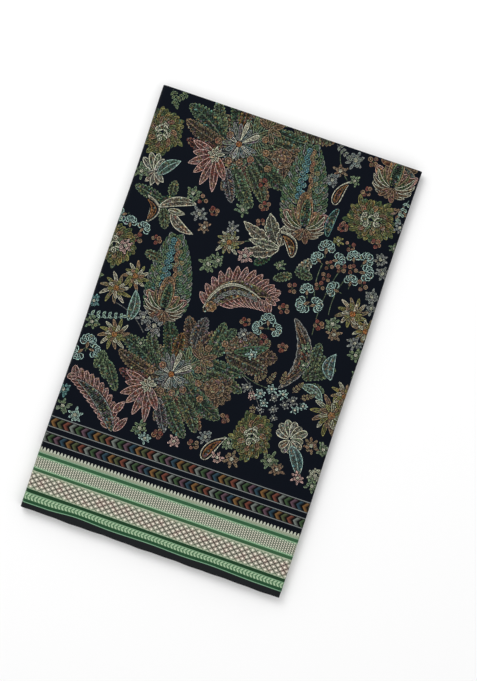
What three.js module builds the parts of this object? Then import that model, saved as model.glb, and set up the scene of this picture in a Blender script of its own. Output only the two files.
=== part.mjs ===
// A saree folded for the shelf and laid flat, printed side up, in millimetres with +Z up.
// The cloth is halved across its width, border to border, and then halved four times along its
// length, which stacks 16 double sheets. The fold of the width is the +Y end and the woven borders
// are the -Y end. The last fold of the length is the -X side. The +X side holds the fold of eight
// sheets on top, then those of four and of two, and the two free ends at the bottom.
// The outermost double sheet is a wall: it runs over the top, round the -X fold and along the
// underside. All the sheets inside it share one solid whose edges are layered.
import * as THREE from "three";

// The bundle
const CLOTH_LENGTH = 5500;
const LENGTH_FOLDS = 4;
const WIDTH = CLOTH_LENGTH / 2 ** LENGTH_FOLDS;
const LENGTH = 566.6;
const THICKNESS = 16;
const HEM_SKEW = 5.3; // the hem runs this much lower on the right than on the left
const HEM_Y = -LENGTH / 2;
const FOLD_Y = LENGTH / 2;

// The walls
const WALL = 1.0;
const GAP = 0.3;
const LEFT_FOLD_DEPTH = 5.0;
const RIGHT_FOLD_DEPTH = 4.0;
const BORDER_RAISE = 0.2; // the border's brocade is thicker than the printed field
const UNDER_INSET = 2.5; // the lowest sheet ends this far inside the top one, at the hem and the fold
const FREE_END_INSET = 1.2; // and its free end this far inside the right-hand folds

// The border, measured up from the hem at the left side and at the right side
const BORDER_LINE = { left: 77.0, right: 82.0 };
// The dark selvedge's width at shares of the way across, where its edge waves
const SELVEDGE = [
  { share: 0.0, width: 6.3 },
  { share: 0.09, width: 6.6 },
  { share: 0.21, width: 9.4 },
  { share: 0.34, width: 8.0 },
  { share: 0.5, width: 9.2 },
  { share: 0.62, width: 8.3 },
  { share: 0.73, width: 9.3 },
  { share: 0.9, width: 7.9 },
  { share: 1.0, width: 8.0 },
];

// How the pile settles
const SAG = 1.2; // the middle lies lower than the springy folds
const PUCKER = { height: 0.5, wave: 97, reach: 40 }; // along the hem
const SIDE_WAVE = { depth: 0.5, wave: 230 };

// The sheets inside: 14 of them, and the eighth from below is the tail of the top sheet's right fold
const SHEETS_INSIDE = 14;
const TAIL_SHEET = 8;
const ROWS_PER_SHEET = 4;
const GROOVE = 2.6; // depth of the groove between two sheets, at both ends of the bundle
const ROUNDING = 0.5; // how much of a sheet's edge is rounded off beside its crest
const CORE_INSET = 2.2; // the inner sheets end this far inside the top one
const UNEVEN = 1.1; // and their ends are uneven by this much
const RIGHT_NOSES = [
  { from: 0, to: 1, depth: 1.6 }, // the second free end
  { from: 1, to: 3, depth: 3.4 }, // the fold of two
  { from: 3, to: 7, depth: 2.7 }, // the fold of four
  { from: 8, to: 14, depth: RIGHT_FOLD_DEPTH - WALL - GAP }, // the fold of eight, in the top sheet
];

// Steps
const BEND_STEPS = 8;
const ACROSS_STEPS = 20;
const UNDER_ACROSS_STEPS = 10;
const CORE_ALONG_STEPS = 16;

const LEFT_X = -WIDTH / 2 + LEFT_FOLD_DEPTH; // where the flat layers meet the left fold
const RIGHT_X = WIDTH / 2 - RIGHT_FOLD_DEPTH;

const smooth = (t) => {
  const c = Math.min(1, Math.max(0, t));
  return c * c * (3 - 2 * c);
};
const shareAcross = (x) => Math.min(1, Math.max(0, x / WIDTH + 0.5));

function hemY(x) {
  return HEM_Y + HEM_SKEW * (1 - shareAcross(x));
}

function borderY(x) {
  return hemY(x) + THREE.MathUtils.lerp(BORDER_LINE.left, BORDER_LINE.right, shareAcross(x));
}

function selvedgeY(x) {
  const t = shareAcross(x);
  const next = Math.max(1, SELVEDGE.findIndex((point) => point.share >= t));
  const [a, b] = [SELVEDGE[next - 1], SELVEDGE[next]];
  return hemY(x) + THREE.MathUtils.lerp(a.width, b.width, smooth((t - a.share) / (b.share - a.share)));
}

// The boundaries between the inner sheets, from the lowest up
function sheetBounds() {
  const tailHeight = WALL + 2 * GAP;
  const rest = THICKNESS - 2 * (WALL + GAP) - tailHeight;
  const pitch = rest / (SHEETS_INSIDE - 1);
  const bounds = [WALL + GAP];
  for (let sheet = 1; sheet <= SHEETS_INSIDE; sheet++) {
    bounds.push(bounds[sheet - 1] + (sheet === TAIL_SHEET ? tailHeight : pitch));
  }
  return bounds;
}
const BOUNDS = sheetBounds();
const LEFT_CENTRE = TAIL_SHEET - 1; // the left fold turns about this boundary
const UPPER_NOSE = RIGHT_NOSES[RIGHT_NOSES.length - 1];
const UPPER_CENTRE = (UPPER_NOSE.from + UPPER_NOSE.to) / 2;

// A fold's curve: half an ellipse about (x, z), which reaches up, down and out by those radii
function bend(x, z, up, down, out, angle) {
  const high = Math.sin(angle);
  return [x + out * Math.cos(angle), z + (high > 0 ? up : down) * high];
}

function leftBend(margin, angle) {
  const z = BOUNDS[LEFT_CENTRE];
  const up = BOUNDS[SHEETS_INSIDE] - z + margin;
  const down = z - BOUNDS[0] + margin;
  return bend(LEFT_X, z, up, down, -(LEFT_FOLD_DEPTH - WALL - GAP + margin), angle);
}

function rightBend(margin, angle) {
  const z = BOUNDS[UPPER_CENTRE];
  const reach = BOUNDS[UPPER_NOSE.to] - z + margin;
  return bend(RIGHT_X, z, reach, reach, UPPER_NOSE.depth + margin, angle);
}

// The pile's settling moves every point, so that neighbours keep their gaps
function settle(x, y, z) {
  const across = Math.max(0, 1 - (2 * x / WIDTH) ** 2);
  const along = Math.max(0, 1 - (2 * y / LENGTH) ** 4);
  const fromHem = Math.max(0, y - HEM_Y);
  const pucker = PUCKER.height * Math.cos((2 * Math.PI * x) / PUCKER.wave) * Math.exp(-fromHem / PUCKER.reach);
  const rise = pucker * smooth(across * 4) - SAG * across * along;
  const side = (2 * x / WIDTH) ** 3;
  const sway = SIDE_WAVE.depth * Math.sin((2 * Math.PI * y) / SIDE_WAVE.wave) * side;
  return [x + sway, y, z * (1 + rise / THICKNESS)];
}

function meshOf(name, points, triangles, material) {
  const geometry = new THREE.BufferGeometry();
  const settled = points.flatMap(([x, y, z]) => settle(x, y, z));
  geometry.setAttribute("position", new THREE.Float32BufferAttribute(settled, 3));
  geometry.setIndex(triangles);
  geometry.computeVertexNormals();
  const mesh = new THREE.Mesh(geometry, material);
  mesh.name = name;
  return mesh;
}

// A wall along Y. Each station holds its outer and inner point in XZ, and y(station, end) gives where
// it starts and stops. roundHigh rounds off the end at +Y, where the sheet itself is folded.
function wall(name, stations, yLow, yHigh, alongSteps, roundHigh, material) {
  const shares = Array.from({ length: alongSteps + 1 }, (_, step) => step / alongSteps);
  const rows = shares.map((share) => ({ share, back: 0, keep: 1 }));
  if (roundHigh) {
    rows.pop();
    for (const angle of [0, Math.PI / 4, Math.PI * 0.42]) {
      rows.push({ share: 1, back: (WALL / 2) * (1 - Math.sin(angle)), keep: Math.cos(angle) });
    }
  }
  const points = [];
  for (const station of stations) {
    for (const row of rows) {
      const y = THREE.MathUtils.lerp(yLow(station.x), yHigh(station.x), row.share) - row.back;
      for (const side of [1, -1]) {
        const half = (1 + side * row.keep) / 2;
        points.push([
          THREE.MathUtils.lerp(station.inner[0], station.outer[0], half),
          y,
          THREE.MathUtils.lerp(station.inner[1], station.outer[1], half),
        ]);
      }
    }
  }
  const at = (station, row, side) => (station * rows.length + row) * 2 + side;
  const triangles = [];
  const quad = (a, b, c, d) => triangles.push(a, b, c, a, c, d);
  const lastStation = stations.length - 1;
  const lastRow = rows.length - 1;
  for (let s = 0; s < lastStation; s++) {
    for (let r = 0; r < lastRow; r++) {
      quad(at(s, r, 0), at(s + 1, r, 0), at(s + 1, r + 1, 0), at(s, r + 1, 0));
      quad(at(s, r, 1), at(s, r + 1, 1), at(s + 1, r + 1, 1), at(s + 1, r, 1));
    }
    quad(at(s, 0, 0), at(s, 0, 1), at(s + 1, 0, 1), at(s + 1, 0, 0));
    quad(at(s, lastRow, 0), at(s + 1, lastRow, 0), at(s + 1, lastRow, 1), at(s, lastRow, 1));
  }
  for (let r = 0; r < lastRow; r++) {
    quad(at(0, r, 0), at(0, r + 1, 0), at(0, r + 1, 1), at(0, r, 1));
    quad(at(lastStation, r, 0), at(lastStation, r, 1), at(lastStation, r + 1, 1), at(lastStation, r + 1, 0));
  }
  return meshOf(name, points, triangles, material);
}

// The top sheet, from the middle of the left fold, over the top, and round the fold of eight
function topStations(raise) {
  const stations = [];
  const split = GAP / THICKNESS;
  for (let step = 0; step < BEND_STEPS; step++) {
    const angle = THREE.MathUtils.lerp(split, Math.PI / 2, step / BEND_STEPS);
    stations.push({ outer: leftBend(WALL + GAP + raise, angle), inner: leftBend(GAP, angle) });
  }
  for (let step = 0; step <= ACROSS_STEPS; step++) {
    const x = THREE.MathUtils.lerp(LEFT_X, RIGHT_X, step / ACROSS_STEPS);
    stations.push({ outer: [x, THICKNESS + raise], inner: [x, THICKNESS - WALL] });
  }
  const tailAngle = -Math.PI / 2 + GAP / RIGHT_FOLD_DEPTH;
  for (let step = 1; step <= BEND_STEPS; step++) {
    const angle = THREE.MathUtils.lerp(Math.PI / 2, tailAngle, step / BEND_STEPS);
    const eased = raise * Math.max(0, Math.sin(angle));
    stations.push({ outer: rightBend(WALL + GAP + eased, angle), inner: rightBend(GAP, angle) });
  }
  return stations.map((station) => ({ ...station, x: station.outer[0] }));
}

// The lowest sheet, from the middle of the left fold, down and along the surface to its free end
function underStations() {
  const stations = [];
  const split = GAP / THICKNESS;
  for (let step = 0; step < BEND_STEPS; step++) {
    const angle = -THREE.MathUtils.lerp(split, Math.PI / 2, step / BEND_STEPS);
    stations.push({ outer: leftBend(WALL + GAP, angle), inner: leftBend(GAP, angle) });
  }
  for (let step = 0; step <= UNDER_ACROSS_STEPS; step++) {
    const x = THREE.MathUtils.lerp(LEFT_X, WIDTH / 2 - FREE_END_INSET, step / UNDER_ACROSS_STEPS);
    stations.push({ outer: [x, 0], inner: [x, WALL] });
  }
  return stations.reverse().map((station) => ({ ...station, x: station.outer[0] }));
}

// The section of the inner sheets: points {x, z, level, leftSheet, rightSheet} and its faces.
// level says how far a point is from a groove, and the sheets say which pair of layers it is in.
function coreSection() {
  const rows = [];
  for (let row = 0; row <= SHEETS_INSIDE * ROWS_PER_SHEET; row++) {
    const sheet = Math.min(SHEETS_INSIDE - 1, Math.floor(row / ROWS_PER_SHEET));
    const share = row / ROWS_PER_SHEET - sheet;
    rows.push(THREE.MathUtils.lerp(BOUNDS[sheet], BOUNDS[sheet + 1], share));
  }
  const points = [];
  const faces = [];
  const add = (x, z, level, leftSheet, rightSheet) => points.push({ x, z, level, leftSheet, rightSheet }) - 1;
  const leftCentre = LEFT_CENTRE * ROWS_PER_SHEET;
  const noseOf = (row) => RIGHT_NOSES.find((nose) => row <= nose.to * ROWS_PER_SHEET);
  const rightSheetOf = (row) => {
    const nose = noseOf(row);
    return Math.floor(Math.abs(row - ((nose.from + nose.to) / 2) * ROWS_PER_SHEET) / ROWS_PER_SHEET) + nose.from;
  };
  const columns = [];
  for (let column = 0; column <= ACROSS_STEPS; column++) {
    const x = THREE.MathUtils.lerp(LEFT_X, RIGHT_X, column / ACROSS_STEPS);
    columns.push(
      rows.map((z, row) =>
        add(x, z, row % ROWS_PER_SHEET, Math.floor(Math.abs(row - leftCentre) / ROWS_PER_SHEET), rightSheetOf(row)),
      ),
    );
  }
  for (let column = 0; column < ACROSS_STEPS; column++) {
    for (let row = 0; row < rows.length - 1; row++) {
      const [here, there] = [columns[column], columns[column + 1]];
      faces.push([here[row], there[row], there[row + 1], here[row + 1]]);
    }
  }
  // Nested half rings of layers, which join the rows above a centre to those below it
  const nest = (column, centre, reach, depth, side) => {
    const x = points[column[centre]].x;
    let inner = null;
    for (let level = 1; level <= reach; level++) {
      const up = rows[centre + level] - rows[centre];
      const down = rows[centre] - rows[centre - level];
      const like = points[column[centre + level]];
      const ring = [column[centre + level]];
      for (let step = 1; step < BEND_STEPS; step++) {
        const angle = Math.PI / 2 - (Math.PI * step) / BEND_STEPS;
        const [px, pz] = bend(x, rows[centre], up, down, (side * depth * level) / reach, angle);
        ring.push(add(px, pz, like.level, like.leftSheet, like.rightSheet));
      }
      ring.push(column[centre - level]);
      for (let step = 0; step < BEND_STEPS; step++) {
        const face = inner
          ? [inner[step], inner[step + 1], ring[step + 1], ring[step]]
          : [column[centre], ring[step + 1], ring[step]];
        faces.push(side > 0 ? face : face.reverse());
      }
      inner = ring;
    }
  };
  nest(columns[0], leftCentre, leftCentre, LEFT_FOLD_DEPTH - WALL - GAP, -1);
  for (const { from, to, depth } of RIGHT_NOSES) {
    const centre = ((from + to) / 2) * ROWS_PER_SHEET;
    nest(columns[ACROSS_STEPS], centre, (to - from) * ROWS_PER_SHEET / 2, depth, 1);
  }
  return { points, faces };
}

// The inner sheets: the section drawn out along Y, with a groove between sheets at both ends
function innerSheets(name, material) {
  const { points: section, faces } = coreSection();
  const inset = (point, phase) => {
    const recess = [GROOVE, ROUNDING, 0, ROUNDING][point.level];
    const across = smooth(shareAcross(point.x));
    const offset = THREE.MathUtils.lerp(
      Math.sin(2.4 * point.leftSheet + phase),
      Math.sin(1.9 * point.rightSheet + phase + 1),
      across,
    );
    return CORE_INSET + UNEVEN * (1 + offset) + recess;
  };
  const layers = [];
  for (let step = 0; step <= CORE_ALONG_STEPS; step++) {
    layers.push(
      section.map((point) => {
        const low = hemY(point.x) + inset(point, 0);
        const high = FOLD_Y - inset(point, 2);
        return [point.x, THREE.MathUtils.lerp(low, high, step / CORE_ALONG_STEPS), point.z];
      }),
    );
  }
  const count = section.length;
  const open = new Map();
  for (const face of faces) {
    face.forEach((a, i) => {
      const b = face[(i + 1) % face.length];
      if (!open.delete(b + "," + a)) {
        open.set(a + "," + b, [a, b]);
      }
    });
  }
  const triangles = [];
  for (const face of faces) {
    for (let i = 1; i < face.length - 1; i++) {
      triangles.push(face[0], face[i], face[i + 1]);
      const last = CORE_ALONG_STEPS * count;
      triangles.push(last + face[0], last + face[i + 1], last + face[i]);
    }
  }
  for (const [a, b] of open.values()) {
    for (let step = 0; step < CORE_ALONG_STEPS; step++) {
      const [near, far] = [step * count, (step + 1) * count];
      triangles.push(near + b, near + a, far + a, near + b, far + a, far + b);
    }
  }
  // Only the two ends and the sides are used, so the points inside the block are dropped
  const used = [...new Set(triangles)].sort((a, b) => a - b);
  const place = new Map(used.map((index, i) => [index, i]));
  const all = layers.flat();
  return meshOf(name, used.map((index) => all[index]), triangles.map((index) => place.get(index)), material);
}

const cloth = (color, roughness, metalness) => new THREE.MeshStandardMaterial({ color, roughness, metalness });
const printed = cloth(0x161d2e, 0.75, 0);
const brocade = cloth(0x9aa68c, 0.5, 0.2);
const darkEdge = cloth(0x15161a, 0.8, 0);

const saree = new THREE.Group();
const half = GAP / 2;
const top = topStations(0);
const topRaised = topStations(BORDER_RAISE);
saree.add(wall("top_field", top, (x) => borderY(x) + half, () => FOLD_Y, 22, true, printed));
saree.add(wall("top_border", topRaised, (x) => selvedgeY(x) + half, (x) => borderY(x) - half, 5, false, brocade));
saree.add(wall("top_selvedge", top, hemY, (x) => selvedgeY(x) - half, 1, false, darkEdge));
const under = underStations();
const underHem = (x) => hemY(x) + UNDER_INSET;
saree.add(wall("under_field", under, (x) => borderY(x) + half, () => FOLD_Y - UNDER_INSET, 10, true, printed));
saree.add(wall("under_border", under, (x) => selvedgeY(x) + half, (x) => borderY(x) - half, 4, false, brocade));
saree.add(wall("under_selvedge", under, underHem, (x) => selvedgeY(x) - half, 1, false, darkEdge));
saree.add(innerSheets("inner_sheets", printed));

// The origin is the middle of the footprint, on the surface that the saree lies on
const box = new THREE.Box3().setFromObject(saree);
const middle = box.getCenter(new THREE.Vector3());
saree.position.set(-middle.x, -middle.y, -box.min.z);

export default saree;
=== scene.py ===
"""Looks of the folded saree: a printed field, a woven border and a dark selvedge, laid flat.

The cloth is drawn on its own flat pattern, in millimetres, as `across` from the left fold and `down`
from the fold at the top. The same pattern is bent over the pile, round its side folds and under it.
Each small cell of the pattern stores which printed motifs cross it and where the cell lies on them,
and the material works out each motif's outline, veins and colours from that.
"""

import math
import random

import bpy
import numpy as np
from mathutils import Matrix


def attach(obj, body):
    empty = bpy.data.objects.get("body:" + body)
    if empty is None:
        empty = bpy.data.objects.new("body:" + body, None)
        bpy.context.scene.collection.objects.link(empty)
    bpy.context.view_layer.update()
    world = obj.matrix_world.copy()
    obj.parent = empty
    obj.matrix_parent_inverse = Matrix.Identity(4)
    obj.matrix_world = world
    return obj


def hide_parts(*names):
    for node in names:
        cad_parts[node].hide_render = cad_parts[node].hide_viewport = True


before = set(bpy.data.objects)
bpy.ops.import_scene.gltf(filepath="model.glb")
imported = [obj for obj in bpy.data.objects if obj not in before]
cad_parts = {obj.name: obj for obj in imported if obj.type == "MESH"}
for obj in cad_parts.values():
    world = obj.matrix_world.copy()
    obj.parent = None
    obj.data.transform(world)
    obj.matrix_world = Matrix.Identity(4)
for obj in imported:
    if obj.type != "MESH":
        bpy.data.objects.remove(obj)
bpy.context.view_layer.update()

MM = 0.001

# The bundle, in millimetres, with the part's own sizes
WIDTH = 343.75
LENGTH = 566.6
THICKNESS = 16.0
HEM_SKEW = 5.3
HEM_Y = -LENGTH / 2
FOLD_Y = LENGTH / 2
WALL = 1.0
GAP = 0.3
LEFT_FOLD_DEPTH = 5.0
RIGHT_FOLD_DEPTH = 4.0
BORDER_RAISE = 0.2
UNDER_INSET = 2.5
FREE_END_INSET = 1.2
# The free end's second ply: how far back from the end, and how high, and the inner face under it
TURNED_EDGE = ((-0.25, 0.25), (-0.25, 0.6), (0.1, 0.9), (8.0, 0.94))
TURNED_INNER = (0.6, 0.45)
BORDER_LINE = (77.0, 82.0)
MID_BORDER_LINE = 79.5
SELVEDGE_SHARES = (0.0, 0.09, 0.21, 0.34, 0.5, 0.62, 0.73, 0.9, 1.0)
SELVEDGE_WIDTHS = (6.3, 6.6, 9.4, 8.0, 9.2, 8.3, 9.3, 7.9, 8.0)
MID_SELVEDGE = 8.5
SAG = 1.2
PUCKER_HEIGHT, PUCKER_WAVE, PUCKER_REACH = 0.5, 97.0, 40.0
SWAY, SWAY_WAVE = 0.5, 230.0
HEM_SPLAY = 1.9  # how far the sides spread at the loose hem
LEFT_X = -WIDTH / 2 + LEFT_FOLD_DEPTH
RIGHT_X = WIDTH / 2 - RIGHT_FOLD_DEPTH

# The sheets inside
SHEETS = 14
TAIL_SHEET = 8
NOSES = ((0, 1, 1.6), (1, 3, 3.4), (3, 7, 2.7), (8, 14, RIGHT_FOLD_DEPTH - WALL - GAP))
ROWS_PER_SHEET = 8
CORE_INSET = 2.0
UNEVEN = 1.0

CELL = 2.4  # size of a cell of the flat pattern
LAYERS = 5  # printed motifs that one cell can hold
HALO = 0.9  # dark ground left round each motif, in mm
INK_STRENGTH = 0.48  # how light the inks look over the dark ground
BEND_CELLS = 7
REPEAT = 372.0  # the print starts again this far along the cloth

# Inks: name, and red, green and blue, set so that the render's tones come close to the photo's
INKS = {
    "navy": (1, 6, 17),
    "olive": (104, 106, 68),
    "moss": (78, 98, 62),
    "green": (58, 98, 72),
    "leaf": (92, 122, 88),
    "teal": (50, 92, 98),
    "aqua": (98, 144, 142),
    "mint": (160, 190, 180),
    "cream": (190, 190, 168),
    "grey": (138, 142, 138),
    "rust": (124, 62, 48),
    "brick": (118, 58, 46),
    "rose": (124, 74, 66),
    "pink": (198, 166, 156),
    "brown": (102, 80, 62),
    "tan": (146, 124, 98),
    "ochre": (148, 104, 60),
    "yellow": (138, 136, 82),
    "plum": (78, 52, 66),
    "blue": (58, 88, 122),
    "sage": (120, 140, 106),
    "deep": (22, 38, 48),
    "orange": (172, 92, 46),
    "mauve": (128, 96, 122),
}
INK_NAMES = list(INKS)

# How a motif is filled: outline and midrib in mm, hatching's strength and pitch in mm, rings, dots, stipple
STYLES = {
    "plain": (0.5, 0.0, 0.0, 2.0, 0.0, 0.0, 0.35),
    "leaf": (0.5, 0.4, 0.6, 2.4, 0.0, 0.0, 0.75),
    "feather": (0.5, 0.35, 0.6, 3.2, 0.0, 0.0, 0.9),
    "lined": (0.65, 0.3, 0.4, 1.9, 0.0, 0.5, 0.85),
    "dotted": (0.45, 0.0, 0.0, 3.0, 0.0, 0.9, 1.0),
    "ringed": (0.6, 0.0, 0.3, 2.6, 0.9, 0.6, 0.8),
    "petal": (0.48, 0.3, 0.3, 1.8, 0.0, 0.0, 0.6),
    "stem": (0.0, 0.0, 0.0, 2.0, 0.0, 0.0, 0.2),
    "bloom": (0.5, 0.0, 0.3, 1.8, 0.6, 0.2, 0.7),
    "shell": (0.6, 0.0, 0.0, 1.8, 0.35, 0.0, 1.0),
}
STYLE_NAMES = list(STYLES)


def linear(rgb):
    """A 0 to 255 screen colour as the light it stands for."""
    share = np.asarray(rgb, float) / 255
    return tuple(np.where(share <= 0.04045, share / 12.92, ((share + 0.055) / 1.055) ** 2.4))


def smooth(t):
    c = np.clip(t, 0, 1)
    return c * c * (3 - 2 * c)


# The form of the cloth, as in the part's source


def share_across(x):
    return np.clip(np.asarray(x) / WIDTH + 0.5, 0, 1)


def hem_y(x):
    return HEM_Y + HEM_SKEW * (1 - share_across(x))


def border_height(x):
    return BORDER_LINE[0] + (BORDER_LINE[1] - BORDER_LINE[0]) * share_across(x)


def selvedge_width(x):
    t = share_across(x)
    place = np.clip(np.searchsorted(SELVEDGE_SHARES, t, side="left"), 1, len(SELVEDGE_SHARES) - 1)
    shares, widths = np.array(SELVEDGE_SHARES), np.array(SELVEDGE_WIDTHS)
    a, b = shares[place - 1], shares[place]
    return widths[place - 1] + (widths[place] - widths[place - 1]) * smooth((t - a) / (b - a))


def creases(x, y):
    """Soft troughs and ridges pressed into the pile, in mm."""
    rise = np.zeros_like(x)
    for at_x, at_y, angle, length, width, height in CREASES:
        turn = math.radians(angle)
        along = (x - at_x) * math.cos(turn) + (y - at_y) * math.sin(turn)
        beside = (y - at_y) * math.cos(turn) - (x - at_x) * math.sin(turn)
        bow = beside - 4.0 * (along / length) ** 2
        rise = rise + height * np.exp(-((bow / width) ** 2) - (along / length) ** 4)
    return rise


# Each crease: middle, direction in degrees, half length, half width and height in mm
CREASES = (
    (-4, 90, 88, 170, 5.0, -0.35),
    (6, 96, 91, 150, 9.0, 0.22),
    (-92, -40, 96, 130, 7.0, 0.25),
    (88, -120, 84, 110, 6.0, -0.3),
    (96, 60, 98, 120, 11.0, 0.28),
    (-40, 8, 4, 150, 6.0, -0.28),
    (30, 16, -3, 140, 10.0, 0.2),
    (-70, 150, 12, 70, 9.0, 0.3),
    (60, 185, -16, 60, 8.0, -0.25),
    (-110, -195, 7, 60, 6.0, 0.3),
    (10, -190, -6, 75, 8.0, -0.3),
    (120, -200, 10, 45, 7.0, 0.3),
    (-30, -232, 3, 60, 9.0, 0.25),
    (80, -250, -5, 50, 8.0, 0.3),
)


def settled(x, y, z):
    """The pile's settling: it sags in the middle, puckers at the hem, and its sides sway and spread."""
    across = np.maximum(0, 1 - (2 * x / WIDTH) ** 2)
    along = np.maximum(0, 1 - (2 * y / LENGTH) ** 4)
    from_hem = np.maximum(0, y - HEM_Y)
    pucker = PUCKER_HEIGHT * np.cos(2 * np.pi * x / PUCKER_WAVE) * np.exp(-from_hem / PUCKER_REACH)
    rise = pucker * smooth(across * 4) - SAG * across * along + creases(x, y) * smooth(across * 6)
    spread = HEM_SPLAY * np.clip(1 - from_hem / LENGTH, 0, 1) ** 3
    sway = (SWAY * np.sin(2 * np.pi * y / SWAY_WAVE) + spread) * (2 * x / WIDTH) ** 3
    return np.stack([x + sway, y, z * (1 + rise / THICKNESS)], -1) * MM


def sheet_bounds():
    tail = WALL + 2 * GAP
    pitch = (THICKNESS - 2 * (WALL + GAP) - tail) / (SHEETS - 1)
    steps = [tail if sheet == TAIL_SHEET else pitch for sheet in range(1, SHEETS + 1)]
    return WALL + GAP + np.concatenate([[0], np.cumsum(steps)])


BOUNDS = sheet_bounds()
LEFT_CENTRE = TAIL_SHEET - 1
UPPER_CENTRE = (NOSES[-1][0] + NOSES[-1][1]) // 2


def bend(x, z, up, down, out, angle):
    high = math.sin(angle)
    return x + out * math.cos(angle), z + (up if high > 0 else down) * high


def left_bend(margin, angle):
    z = BOUNDS[LEFT_CENTRE]
    out = LEFT_FOLD_DEPTH - WALL - GAP + margin
    return bend(LEFT_X, z, BOUNDS[SHEETS] - z + margin, z - BOUNDS[0] + margin, -out, angle)


def right_bend(margin, angle):
    z = BOUNDS[UPPER_CENTRE]
    reach = BOUNDS[NOSES[-1][1]] - z + margin
    return bend(RIGHT_X, z, reach, reach, NOSES[-1][2] + margin, angle)


def top_stations():
    """Where the top sheet's outer and inner faces run, from its left fold to the tail of its right one."""
    outer, inner = [], []
    for angle in np.linspace(0, math.pi / 2, BEND_CELLS, endpoint=False):
        outer.append(left_bend(WALL + GAP, angle))
        inner.append(left_bend(GAP, angle))
    for x in np.linspace(LEFT_X, RIGHT_X, round((RIGHT_X - LEFT_X) / CELL) + 1):
        outer.append((x, THICKNESS))
        inner.append((x, THICKNESS - WALL))
    for angle in np.linspace(math.pi / 2, GAP / RIGHT_FOLD_DEPTH - math.pi / 2, 2 * BEND_CELLS)[1:]:
        outer.append(right_bend(WALL + GAP, angle))
        inner.append(right_bend(GAP, angle))
    return np.array(outer), np.array(inner)


def under_stations():
    """The same for the lowest sheet, from the middle of the left fold to its free end."""
    outer, inner = [], []
    for angle in np.linspace(0, -math.pi / 2, BEND_CELLS, endpoint=False):
        outer.append(left_bend(WALL + GAP, angle))
        inner.append(left_bend(GAP, angle))
    last = WIDTH / 2 - FREE_END_INSET
    for x in np.linspace(LEFT_X, last, round((last - LEFT_X) / CELL) + 1):
        outer.append((x, 0.0))
        inner.append((x, WALL))
    for back, z in TURNED_EDGE:
        outer.append((last - back, z))
        inner.append((last - back - TURNED_INNER[0], TURNED_INNER[1]))
    return np.array(outer), np.array(inner)


def arc_lengths(outer, zero_x):
    """How far across the flat cloth each station is, counted from zero_x on the flat part."""
    lengths = np.concatenate([[0], np.cumsum(np.linalg.norm(np.diff(outer, axis=0), axis=1))])
    return lengths, lengths[np.argmin(np.abs(outer[:, 0] - zero_x))]


# The printed motifs, drawn on the flat pattern. Later ones lie over earlier ones.

MOTIF_COLUMNS = (
    "x", "y", "angle", "length", "width", "bend", "hook", "p", "q", "kind", "n", "depth",
    "body", "line", "style", "seed",
)
LEAF, BLOOM = 0.0, 1.0
chance = random.Random(11)


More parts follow.
